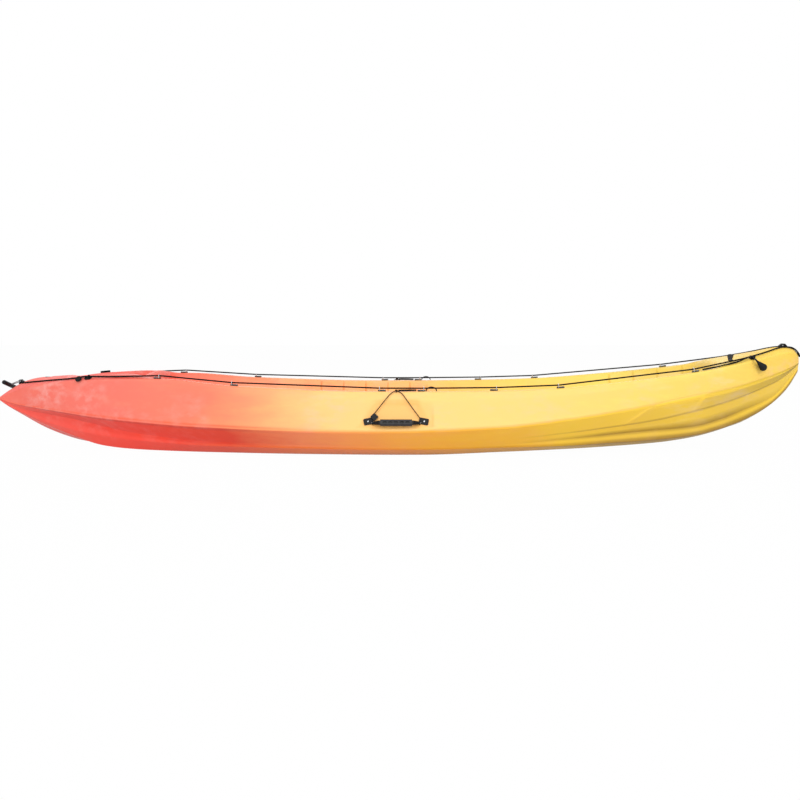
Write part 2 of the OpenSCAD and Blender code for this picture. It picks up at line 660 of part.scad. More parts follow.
module paddle_hook(side) {
    route = [for (k = [0:hook_steps])
        let (turn = 180 * k / hook_steps)
        [-hook_half * cos(turn), 0, hook_height * sin(turn)]];
    sizes = [for (p = route) hook_d];
    color([0.12, 0.12, 0.13]) on_side(side)
        on_deck(hook_x, -rim_y(hook_x) - hook_offset, -guide_yaw(hook_x))
            translate([0, 0, hook_gap]) cord(route, sizes, up = [0, 1, 0]);
}

// Stern: a fairlead with a cross pin, and a toggle bar on two cords that swings on the pin
stern_fairlead_x = -1766;
fairlead_length = 26;
fairlead_round = 5;
fairlead_base = 4;
cheek = 5;
cheek_gap = 12;
cheek_height = 13;
pin_height = 10;
ring_width = 10;
stern_pin_d = 5;
eye_ring_d = 11;
stern_toggle_out = 58;
toggle_tilt = -21;
toggle_hang = 19;
strand_inset = 0.6;
strand_root = 1;
toggle_round = 7;
arc_steps = 6;
module fairlead_cheeks(length, bore) {
    difference() {
        union() {
            linear_extrude(fairlead_base) rounded_plate(length, cheek_gap + 2 * cheek, fairlead_round);
            for (way = [-1, 1])
                translate([0, way * (cheek_gap + cheek) / 2, 0])
                    rotate([90, 0, 0])
                        linear_extrude(cheek, center = true) {
                            translate([-cheek_height / 2, 0]) square([cheek_height, pin_height]);
                            translate([0, pin_height]) circle(d = cheek_height);
                        }
        }
        translate([0, 0, pin_height])
            rotate([90, 0, 0])
                cylinder(d = bore + 2 * fit_gap, h = cheek_gap + 2 * (cheek + cut), center = true);
    }
}
module cheek_pin(d) {
    translate([0, 0, pin_height])
        rotate([90, 0, 0]) cylinder(d = d, h = cheek_gap + 2 * cheek, center = true);
}
module stern_fairlead() {
    color([0.09, 0.09, 0.1]) on_deck(stern_fairlead_x, 0) fairlead_cheeks(fairlead_length, stern_pin_d);
}
module stern_pin() {
    color("silver") on_deck(stern_fairlead_x, 0) cheek_pin(stern_pin_d);
}
// The pin's middle in space, for what swings on it
stern_pivot = deck_point(stern_fairlead_x, 0, pin_height);
module stern_toggle_cord() {
    reach = stern_toggle_out - toggle_d / 2 - fit_gap;
    color([0.55, 0.55, 0.56]) translate(stern_pivot) rotate([0, -toggle_hang, 0]) {
        rotate([90, 0, 0])
            difference() {
                cylinder(d = eye_ring_d, h = ring_width, center = true);
                cylinder(d = stern_pin_d + 2 * fit_gap, h = ring_width + 2 * cut, center = true);
            }
        for (way = [-1, 1])
            translate([strand_root - eye_ring_d / 2, way * ((ring_width - cord_d) / 2 - strand_inset), 0])
                rotate([0, -90, 0]) cylinder(d = cord_d, h = reach - eye_ring_d / 2 + strand_root);
    }
}
module stern_toggle() {
    corner = [toggle_d / 2 - toggle_round, toggle_length / 2 - toggle_round];
    turns = [for (k = [0:arc_steps]) 90 * k / arc_steps];
    arc = [for (turn = turns) corner + toggle_round * [sin(turn), cos(turn)]];
    upper = concat([[0, toggle_length / 2]], arc);
    lower = [for (k = [len(upper) - 1:-1:0]) [upper[k][0], -upper[k][1]]];
    color([0.07, 0.07, 0.08])
        translate(stern_pivot) rotate([0, -toggle_hang, 0]) translate([-stern_toggle_out, 0, 0])
            rotate([90 + toggle_tilt, 0, 0])
                rotate_extrude() polygon(concat(upper, lower));
}

// Stern deck: a hook over the line and a round knob on the gunwale to starboard, a flat bracket to port
cleat_x = -1400;
cleat_length = 36;
cleat_width = 20;
cleat_base = 4;
cleat_arch = 10.5;
hook_inset = 12;
bracket_x = -1418;
bracket_length = 46;
bracket_inset = 27.5;
bracket_width = 11;
bracket_bar = 9;
post_d = 7;
post_height = 6;
bar_thick = 3;
knob_d = 28;
knob_height = 14;
knob_neck_d = 10;
knob_x = -1440;
knob_lean = 45;
knob_gap = 1;
arch_d = 4;
module stern_hook() {
    color([0.1, 0.1, 0.11]) on_deck(cleat_x, -(gunwale_at(cleat_x) - stern_inset), -guide_yaw(cleat_x)) {
        linear_extrude(cleat_base) stadium(cleat_length, cleat_width);
        translate([cleat_length / 2 - hook_inset, 0, cleat_base])
            rotate([90, 0, 90]) rotate_extrude(angle = 180) translate([cleat_arch, 0]) circle(d = arch_d);
    }
}
module stern_knob() {
    seat_y = gunwale_at(knob_x) - (gunwale_round[0] + rim_outer) / 2;
    seat_z = along(gunwale_line, knob_x) * height_scale - gunwale_round[1] / 2;
    color([0.1, 0.1, 0.11])
        translate([knob_x * length_scale, -seat_y, seat_z])
            rotate([knob_lean, 0, -guide_yaw(knob_x)])
                translate([0, 0, knob_gap])
                    rotate_extrude() {
                        square([knob_neck_d / 2, knob_height]);
                        translate([0, knob_height / 2]) square([knob_d / 2, knob_height / 2]);
                    }
}
module stern_bracket() {
    color([0.1, 0.1, 0.11])
        on_deck(bracket_x, gunwale_at(bracket_x) - bracket_inset, guide_yaw(bracket_x)) {
            linear_extrude(cleat_base) stadium(bracket_length, bracket_width);
            for (end = [-1, 1])
                translate([end * bracket_length / 4, 0, 0])
                    cylinder(d = post_d, h = cleat_base + post_height);
            translate([0, 0, cleat_base + post_height - cut])
                linear_extrude(bar_thick) stadium(bracket_length, bracket_bar);
        }
}

// Bow: a fairlead with a tow eye, a strap over the deck, and a drop-shaped toggle that swings on an anchor
bow_fairlead_x = 1800;
bow_fairlead_length = 40;
bow_fairlead_width = 16;
bow_fairlead_height = 17;
wedge_foot = 5;
wedge_top = 14;
module bow_fairlead() {
    color([0.07, 0.07, 0.08]) on_deck(bow_fairlead_x, 0)
        difference() {
            rotate([90, 0, 0])
                linear_extrude(bow_fairlead_width, center = true)
                    polygon([[-bow_fairlead_length / 2, 0], [bow_fairlead_length / 2, 0],
                        [bow_fairlead_length / 2, wedge_foot], [wedge_top / 2, bow_fairlead_height],
                        [-wedge_top / 2, bow_fairlead_height], [-bow_fairlead_length / 2, wedge_foot]]);
            translate([0, 0, bow_fairlead_height / 2])
                rotate([90, 0, 0]) cylinder(d = eye_d, h = bow_fairlead_width + 2 * cut, center = true);
        }
}
strap_near = [1511, -112];
strap_far = [1590, 80];
strap_near_share = 0.5;
strap_steps = 12;
anchor_d = 18;
anchor_height = 6;
anchor_lip = 2;
anchor_gap = 1;
module bow_strap() {
    rings = [for (k = [0:strap_steps])
        let (s = k / strap_steps, middle = mix(strap_near, strap_far, s))
        let (y = middle[1] * beam_scale, w = strap_width * mix(strap_near_share, 1, s))
        [for (c = [[-1, 0], [1, 0], [1, 1], [-1, 1]])
            let (x = middle[0] + c[0] * w / 2)
            [x * length_scale, y, deck_z(x, y) + 2 * seat_gap + c[1] * strap_thick]]];
    walls = [for (i = [0:strap_steps - 1], k = [0:3], half = [0, 1])
        let (a = i * 4 + k, b = i * 4 + (k + 1) % 4)
        half == 0 ? [a, b, a + 4] : [b, b + 4, a + 4]];
    last = strap_steps * 4;
    ends = [[0, 2, 1], [0, 3, 2], [last, last + 1, last + 2], [last, last + 2, last + 3]];
    color([0.08, 0.08, 0.09]) polyhedron([for (r = rings) each r], concat(walls, ends));
}
module bow_strap_anchors() {
    color([0.1, 0.1, 0.11])
        for (end = [[strap_near, -1], [strap_far, 1]])
            on_deck(end[0][0], end[0][1] * beam_scale + end[1] * (anchor_d / 2 + anchor_gap))
                rotate_extrude() {
                    square([anchor_d / 2, anchor_height - anchor_lip]);
                    square([anchor_d / 2 - anchor_lip, anchor_height]);
                }
}
bow_anchor_x = 1606;
bow_anchor_inset = 20;
bow_anchor_y = bow_anchor_inset - gunwale_at(bow_anchor_x);
bow_pin_d = 5;
bow_anchor_length = 22;
drop_reach = 4;
drop_shoulder = 8;
drop_flare = 0.5;
neck_d = 7;
drop_turn = 135;
module bow_toggle_anchor() {
    color([0.09, 0.09, 0.1])
        on_deck(bow_anchor_x, bow_anchor_y, 90) fairlead_cheeks(bow_anchor_length, bow_pin_d);
}
module bow_pin() {
    color("silver") on_deck(bow_anchor_x, bow_anchor_y, 90) cheek_pin(bow_pin_d);
}
module bow_toggle() {
    reach = bow_anchor_inset + drop_d / 2 + drop_reach;
    color([0.06, 0.06, 0.07]) on_deck(bow_anchor_x, bow_anchor_y) translate([0, 0, pin_height]) {
        difference() {
            union() {
                rotate([0, 90, 0]) cylinder(d = eye_ring_d, h = ring_width, center = true);
                rotate([90, 0, 0]) cylinder(d = neck_d, h = reach);
            }
            rotate([0, 90, 0]) cylinder(d = bow_pin_d + 2 * fit_gap, h = ring_width + 2 * cut, center = true);
        }
        translate([0, -reach, 0]) rotate([0, drop_turn, 0]) drop();
    }
}
// Drop with a narrow neck at its origin and a round end
module drop() {
    neck_r = neck_d / 2;
    round_z = drop_length - drop_d / 2;
    rotate_extrude() {
        polygon([[0, -neck_r], [neck_r, -neck_r], [neck_r + drop_flare, drop_shoulder],
            [drop_d / 2, round_z], [0, round_z]]);
        intersection() {
            translate([0, round_z]) circle(d = drop_d);
            translate([0, round_z]) square(drop_d);
        }
    }
}
// Toggle cord: distance forward, inset from the gunwale, and rise towards the anchor
toggle_cord_plan = [[1346, 13, 0], [1380, 13, 0], [1415, 13, 0], [1450, 13, 0], [1485, 13, 0], [1520, 13, 1],
    [1555, 15, 4], [1591, 19, 9]];
bow_cord_d = 8;
bow_cord_gap = 1.2;
module bow_toggle_cord() {
    route = [for (c = toggle_cord_plan)
        let (x = c[0], y = c[1] - gunwale_at(x))
        [x * length_scale, y, deck_z(x, y) + bow_cord_d / 2 + bow_cord_gap + c[2]]];
    sizes = [for (p = route) bow_cord_d];
    color([0.06, 0.06, 0.07]) cord(route, sizes);
}

// Deck line: on the stern deck, through the guides' loops, on the bow deck and round the stem
line_gap = 2;
line_lift = line_d / 2 + line_gap;
stern_inset = 16;
bow_inset = 36;
tip_share = 0.35;
stern_line_x = [-1736, -1700, -1660, -1610, -1560, -1500, -1458, -1424, -1390, -1300, -1230];
bow_line_x = [1560, 1610, 1660, 1705, 1740, 1770, 1785, 1800];
stem_plan = [[1832, -18, 462], [1856, -13, 450], [1872, -11, 431], [1880, -6, 421], [1882, 0, 418]];
stem_route = [for (p = stem_plan) [p[0] * length_scale, p[1] * beam_scale, p[2] * height_scale]];
stem_d = 7;
// The line begins beside the stern fairlead
line_start_y = -(cheek_gap / 2 + cheek + line_d / 2 + seat_gap);
line_start_rise = 2;
line_start_z = deck_z(stern_fairlead_x, line_start_y) + line_lift + line_start_rise;
line_start = [stern_fairlead_x * length_scale, line_start_y, line_start_z];
function line_on_deck(x) =
    let (half = gunwale_at(x))
    let (y = -max(half - (x < 0 ? stern_inset : bow_inset), half * tip_share))
    let (lift = abs(x - cleat_x) < cleat_length ? cleat_base + seat_gap : 0)
    [x * length_scale, y, deck_z(x, y) + line_lift + lift];
function line_in_guide(g) =
    let (y = -rim_y(g[0]), yaw = -guide_yaw(g[0]), pitch = deck_pitch(g[0], y), reach = g[1] * loop_end)
    deck_point(g[0], y, guide_height + line_rise)
        + reach * [cos(yaw) * cos(pitch), sin(yaw), -cos(yaw) * sin(pitch)];
line_route = concat([line_start], [for (x = stern_line_x) line_on_deck(x)],
    [for (g = guides) line_in_guide(g)], [for (x = bow_line_x) line_on_deck(x)], stem_route);
module deck_line(side) {
    first_on_stem = len(line_route) - len(stem_route);
    sizes = [for (i = [0:len(line_route) - 1]) i < first_on_stem ? line_d : stem_d];
    color([0.06, 0.06, 0.07]) on_side(side) cord(line_route, sizes, last_way = [0, 1, 0]);
}

// Drain plug, let into the stern deck on the middle line
drain_x = -1640;
drain_well = 17;
flange_thick = 4;
gasket_thick = 2;
sleeve_wall = 3;
head_thick = 5;
fin_height = 4;
fin_thick = 6;
fin_inset = 6;
flange_rim = 6;
recess_rim = 8;
recess_over = 40;
socket_floor = 4;
gasket_gap = 0.1;
gasket_rim = 2;
drain_floor = deck_z(drain_x, 0) - drain_well;
sleeve_d = shank_d + 2 * fit_gap + 2 * sleeve_wall;
sleeve_length = shank_length + socket_floor;
flange_top = drain_floor + seat_gap + flange_thick;
head_bottom = flange_top + gasket_thick + 2 * gasket_gap;
module at_drain(z) {
    translate([drain_x * length_scale, 0, z]) children();
}
module drain_hole() {
    at_drain(drain_floor) cylinder(d = plug_d + recess_rim, h = recess_over);
    at_drain(drain_floor - sleeve_length - seat_gap)
        cylinder(d = sleeve_d + 2 * fit_gap, h = sleeve_length + flange_thick);
}
module drain_socket() {
    color([0.1, 0.1, 0.11]) difference() {
        union() {
            at_drain(drain_floor + seat_gap) cylinder(d = plug_d + flange_rim, h = flange_thick);
            at_drain(flange_top - sleeve_length) cylinder(d = sleeve_d, h = sleeve_length);
        }
        at_drain(flange_top - shank_length - cut)
            cylinder(d = shank_d + 2 * fit_gap, h = shank_length + 2 * cut);
    }
}
module drain_gasket() {
    color([0.2, 0.2, 0.2]) at_drain(flange_top + gasket_gap) difference() {
        cylinder(d = plug_d - gasket_rim, h = gasket_thick);
        translate([0, 0, -cut]) cylinder(d = shank_d + 2 * fit_gap, h = gasket_thick + 2 * cut);
    }
}
module drain_plug() {
    color([0.08, 0.08, 0.09]) {
        at_drain(head_bottom - shank_length) cylinder(d = shank_d, h = shank_length + head_thick / 2);
        at_drain(head_bottom) cylinder(d = plug_d, h = head_thick);
        at_drain(head_bottom + head_thick / 2)
            linear_extrude(fin_height + head_thick / 2) stadium(plug_d - fin_inset, fin_thick);
    }
}

// Scupper holes: distance forward and offset from the middle line
scupper_reach = 300;
scuppers = [[-1320, 44], [-930, 120], [-110, 170], [380, 120], [1000, 110]];
module scupper_holes() {
    for (s = scuppers, way = [-1, 1])
        translate([s[0] * length_scale, way * s[1] * beam_scale, -cut])
            cylinder(d = scupper_d, h = scupper_reach);
}

module hull_shell() {
    color("orange") difference() {
        hull_solid();
        scupper_holes();
        drain_hole();
        for (side = [-1, 1]) {
            guide_screw_holes(side);
            handle_screw_holes(side);
        }
    }
}

hull_shell();
guide_bases(-1);  // guide_bases_starboard
guide_bases(1);  // guide_bases_port
guide_loops(-1);  // guide_loops_starboard
guide_loops(1);  // guide_loops_port
guide_screws(-1);  // guide_screws_starboard
guide_screws(1);  // guide_screws_port
handle_feet(-1);  // handle_feet_starboard
handle_feet(1);  // handle_feet_port
handle_pins(-1);  // handle_pins_starboard
handle_pins(1);  // handle_pins_port
handle_screws(-1);  // handle_screws_starboard
handle_screws(1);  // handle_screws_port
handle_straps(-1);  // handle_straps_starboard
handle_straps(1);  // handle_straps_port
handle_grip(-1);  // handle_grip_starboard
handle_grip(1);  // handle_grip_port
paddle_knob(-1);  // paddle_knob_starboard
paddle_knob(1);  // paddle_knob_port
paddle_bungee(-1);  // paddle_bungee_starboard
paddle_bungee(1);  // paddle_bungee_port
keeper_cord(-1);  // keeper_cord_starboard
keeper_cord(1);  // keeper_cord_port
paddle_hook(-1);  // paddle_hook_starboard
paddle_hook(1);  // paddle_hook_port
deck_line(-1);  // deck_line_starboard
deck_line(1);  // deck_line_port
stern_fairlead();
stern_pin();
stern_toggle_cord();
stern_toggle();
stern_hook();
stern_knob();
stern_bracket();
bow_fairlead();
bow_strap();
bow_strap_anchors();
bow_toggle_anchor();
bow_pin();
bow_toggle();
bow_toggle_cord();
drain_socket();
drain_gasket();
drain_plug();
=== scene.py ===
"""Looks of the tandem kayak: the moulded hull, its lines, fittings and finishes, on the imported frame."""

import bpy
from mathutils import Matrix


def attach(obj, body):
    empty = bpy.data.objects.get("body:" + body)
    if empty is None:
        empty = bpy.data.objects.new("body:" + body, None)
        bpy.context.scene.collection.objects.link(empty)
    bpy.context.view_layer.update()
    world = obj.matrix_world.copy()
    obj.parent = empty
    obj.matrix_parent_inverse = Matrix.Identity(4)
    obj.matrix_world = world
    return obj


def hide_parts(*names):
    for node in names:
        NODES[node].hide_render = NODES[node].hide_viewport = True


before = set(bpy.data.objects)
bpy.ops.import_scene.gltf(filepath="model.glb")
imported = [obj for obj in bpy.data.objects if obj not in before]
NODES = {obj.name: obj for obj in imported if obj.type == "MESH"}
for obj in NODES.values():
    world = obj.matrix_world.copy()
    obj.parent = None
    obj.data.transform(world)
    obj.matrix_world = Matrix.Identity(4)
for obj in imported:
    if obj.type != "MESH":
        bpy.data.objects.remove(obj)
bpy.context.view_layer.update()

from math import atan, atan2, cos, pi, radians, sin

import bpy
from mathutils import Matrix, Vector

SIDES = {"starboard": -1, "port": 1}
MM = 0.001

# Camera: the photograph's frame and viewpoint, in pixels and metres
IMAGE_PIXELS = 800
FOCAL_PIXELS = 810.5
MIDDLE_PIXEL = 398
HORIZON_PIXEL = 326
CAMERA_DISTANCE = 3.8
CAMERA_HEIGHT = 0.56
SENSOR = 36


def new_object(name, data):
    made = bpy.data.objects.new(name, data)
    bpy.context.scene.collection.objects.link(made)
    return made


def add_camera():
    data = bpy.data.cameras.new("camera")
    data.sensor_width = SENSOR
    data.lens = SENSOR * FOCAL_PIXELS / IMAGE_PIXELS
    camera = new_object("camera", data)
    aside = (IMAGE_PIXELS / 2 - MIDDLE_PIXEL) * CAMERA_DISTANCE / FOCAL_PIXELS
    pitch = atan((IMAGE_PIXELS / 2 - HORIZON_PIXEL) / FOCAL_PIXELS)
    camera.location = (aside, -CAMERA_DISTANCE, CAMERA_HEIGHT)
    camera.rotation_euler = (pi / 2 - pitch, 0, 0)
    bpy.context.scene.camera = camera


# Lines plan of the hull in millimetres: distance forward of the middle, then the value there
HALF_LENGTH = 1875
KEEL_LINE = [
    (-1875, 212), (-1830, 180), (-1770, 145), (-1670, 87), (-1580, 49), (-1485, 21), (-1390, 8), (-1250, 1),
    (-1100, 0), (100, 0), (430, 9), (880, 19), (1160, 27), (1350, 46), (1570, 90), (1690, 147), (1780, 214),
    (1830, 267), (1875, 345)]
CHINE_HALF = [
    (-1875, 4), (-1790, 22), (-1580, 100), (-1380, 170), (-1190, 230), (-1000, 280), (-860, 312),
    (-410, 392), (0, 425), (430, 415), (750, 380), (1010, 330), (1320, 250), (1500, 190), (1670, 120),
    (1790, 66), (1840, 38), (1875, 8)]
CHINE_LINE = [
    (-1875, 219), (-1790, 194), (-1580, 170), (-1380, 149), (-1190, 136), (-860, 121), (-410, 114),
    (0, 118), (430, 134), (750, 168), (1010, 205), (1320, 259), (1500, 288), (1670, 327), (1835, 374),
    (1875, 388)]
BILGE_SHARE = [
    (-1875, 0.6), (-1490, 0.8), (-1140, 0.86), (0, 0.86), (430, 0.85), (760, 0.82), (1110, 0.75),
    (1330, 0.68), (1470, 0.6), (1620, 0.5), (1760, 0.45), (1875, 0.4)]
BILGE_LINE = [
    (-1875, 216), (-1770, 174), (-1490, 136), (-1290, 100), (-1140, 79), (-860, 56), (-420, 49), (0, 46),
    (430, 52), (760, 74), (940, 88), (1110, 98), (1330, 108), (1470, 136), (1620, 183), (1715, 217),
    (1760, 242), (1875, 366)]
STRIP_SHARE = [(-1875, 0.5), (-400, 0.66), (430, 0.66), (760, 0.44), (1330, 0.4), (1875, 0.4)]
STRIP_FLARE = [(-1875, 0.97), (430, 0.97), (800, 1), (1100, 1.05), (1600, 1.1), (1875, 1)]
DEADRISE = [
    (-1875, 1), (-1500, 0.6), (-1350, 0.2), (-1100, 0.05), (-800, 0), (200, 0), (800, 0.25), (1300, 0.6),
    (1600, 0.95), (1875, 1)]
KNUCKLE_SHARE = [
    (-1875, 0.4), (600, 0.3), (960, 0.33), (1155, 0.39), (1276, 0.48), (1453, 0.56), (1600, 0.59),
    (1694, 0.64), (1800, 0.67), (1875, 0.75)]
KNUCKLE_SWELL = [(-1875, 0), (860, 0), (1100, 7), (1600, 7), (1840, 0), (1875, 0)]
GUNWALE_HALF = [
    (-1875, 3), (-1780, 26), (-1690, 60), (-1550, 108), (-1400, 158), (-1200, 214), (-1048, 247),
    (-715, 317), (-87, 368), (114, 374), (418, 376), (684, 360), (1000, 312), (1295, 250), (1500, 186),
    (1670, 116), (1790, 62), (1840, 36), (1875, 7)]
GUNWALE_LINE = [
    (-1875, 223), (-1780, 262), (-1690, 290), (-1550, 308), (-1400, 319), (-1200, 328), (-1048, 329),
    (-715, 303), (-87, 283), (114, 283), (418, 286), (684, 295), (1000, 322), (1295, 356), (1500, 388),
    (1670, 419), (1790, 441), (1835, 441), (1860, 427), (1875, 408)]
CROWN_LINE = [
    (-1875, 4), (-1820, 18), (-1740, 30), (-1520, 22), (-1470, 40), (-1400, 50), (-1200, 46), (-1140, 30),
    (-1040, 20), (1300, 22), (1600, 23), (1780, 22), (1835, 16), (1875, 12)]
# Wells: distance forward, floor height, and how far the deck is let down to it
WELLS = [
    (-1520, 225, 0), (-1470, 225, 1), (-1180, 225, 1), (-1140, 225, 0), (-1125, 170, 0), (-1074, 160, 1),
    (-900, 150, 1), (-700, 165, 1), (-630, 110, 1), (110, 110, 1), (150, 235, 1), (195, 235, 1),
    (255, 160, 1), (400, 150, 1), (600, 165, 1), (680, 110, 1), (1200, 120, 1), (1404, 150, 1),
    (1448, 200, 0)]
TANK_FRONT = -1140
TANK_HALF_WIDTH = 112
# Seat ledges: distance forward and how much of the ledge there is
SEATS = [(-1074, 0), (-1010, 1), (-740, 1), (-650, 0), (255, 0), (320, 1), (570, 1), (660, 0)]
SEAT_HALF_WIDTH = 230
LEDGE_HEIGHT = 215
LEAST_LEDGE = 34
# Footrests: first step and number of steps
FOOTRESTS = [(-385, 5), (1060, 4)]
STEP_PITCH = 112
STEP_DEPTH = 22
STEP_FACE = 6
# Bottom: groove depth, and shares of the half width at the groove's corners and the runner
BOTTOM_GROOVE = 12
GROOVE_SHARES = (0.26, 0.36, 0.58, 0.66)
RUNNER_SHARE = 0.85
# Topsides: shares of the way across and up, just under the chine, over it and on the side panel
CHINE_UNDER = (0.94, 0.92)
CHINE_OVER = (0.01, 0.05)
PANEL_FOOT = (0.10, 0.12)
PANEL_MIDDLE = 0.42
PANEL_HEAD = 0.70
PANEL_TOP = 0.78
# Gunwale and rim, which fade away where the hull is narrower than the fade width
FADE_WIDTH = 70
GUNWALE_TUCK = 0.06
GUNWALE_FALL = 16
GUNWALE_ROUND = (1, 5)
RIM_WIDTH = 42
RIM_OUTER = 8
RIM_INNER = 6
# Well walls and floors: rounded edges, leans and shares of the way across and up
WALL_LEAN = 40
WALL_DROP = 8
STEP_TOP_SHARE = 0.6
BILGE_COVER = 40
LEAST_FLOOR = 5
HIP_SHARES = (0.45, 0.4)
HIP_ROUND = 0.1
LEDGE_SHARE = 0.5
LEDGE_ROUND = 4
SEAT_CORNER = 14
SEAT_EDGE = 34
FLOOR_CORNER = (0.15, 0.1)
FLOOR_DISH = (3, 4)
# Where the points of a well's wall lie on a plain deck, as shares of the well's half width
DECK_SHARES = (0.96, 0.84, 0.74, 0.62, 0.5, 0.25)
# Recess behind a side handle
HANDLE_X = -7
RECESS_LOW = (-167.5, -150.5, 136.5, 153.5)
RECESS_HIGH = (-111.5, -94.5, 80.5, 97.5)
RECESS_DEPTH = 10


def slope(a, b):
    return (b[1] - a[1]) / (b[0] - a[0])


def tangent(line, i):
    before = slope(line[i - 1], line[i]) if i > 0 else slope(line[0], line[1])
    after = slope(line[i], line[i + 1]) if i < len(line) - 1 else before
    return 0 if before * after <= 0 else 2 * before * after / (before + after)


def span_at(line, x):
    """Which span of a line's points x lies in, and how far along it, from 0 to 1."""
    i = 0
    while i < len(line) - 2 and x >= line[i + 1][0]:
        i += 1
    return i, min(1, max(0, (x - line[i][0]) / (line[i + 1][0] - line[i][0])))


def along(line, x):
    """Value at x on the curve through a line's points, with slopes that never overshoot."""
    i, t = span_at(line, x)
    a, b = line[i], line[i + 1]
    bend = tangent(line, i) * (1 - t) - tangent(line, i + 1) * t
    return a[1] + (b[1] - a[1]) * t * t * (3 - 2 * t) + (b[0] - a[0]) * t * (1 - t) * bend


def straight(line, x, column=1):
    i, t = span_at(line, x)
    return mix(line[i][column], line[i + 1][column], t)


def mix(a, b, t):
    return a + (b - a) * t


def footrest_share(x):
    """1 just past a footrest step's face, falling to 0 at the next one."""
    steps = [((x - first) / STEP_PITCH, count) for first, count in FOOTRESTS]
    return max([1 - past % 1 for past, count in steps if 0 <= past <= count], default=0)


def recessed(edges, x):
    rise = (x - edges[0]) / (edges[1] - edges[0])
    fall = (edges[3] - x) / (edges[3] - edges[2])
    return min(1, max(0, min(rise, fall)))


def side_point(x, across, up):
    """A point on the topsides at x, by its shares of the way from chine to gunwale."""
    y = mix(along(CHINE_HALF, x), along(GUNWALE_HALF, x), across)
    return (y, mix(along(CHINE_LINE, x), along(GUNWALE_LINE, x), up))


PANEL_LOW = side_point(0, *PANEL_FOOT)
PANEL_HIGH = side_point(0, PANEL_HEAD, PANEL_HEAD)
PANEL_SLOPE = (PANEL_LOW[0] - PANEL_HIGH[0]) / (PANEL_HIGH[1] - PANEL_LOW[1])


def recess_face(z):
    """How far off the middle line the flat of a handle's recess lies at a height."""
    return PANEL_LOW[0] - RECESS_DEPTH - (z - PANEL_LOW[1]) * PANEL_SLOPE


def panel_point(point, flat_z, share):
    """A point of the side, moved by a share onto the flat of the recess."""
    return (mix(point[0], recess_face(flat_z), share), mix(point[1], flat_z, share))


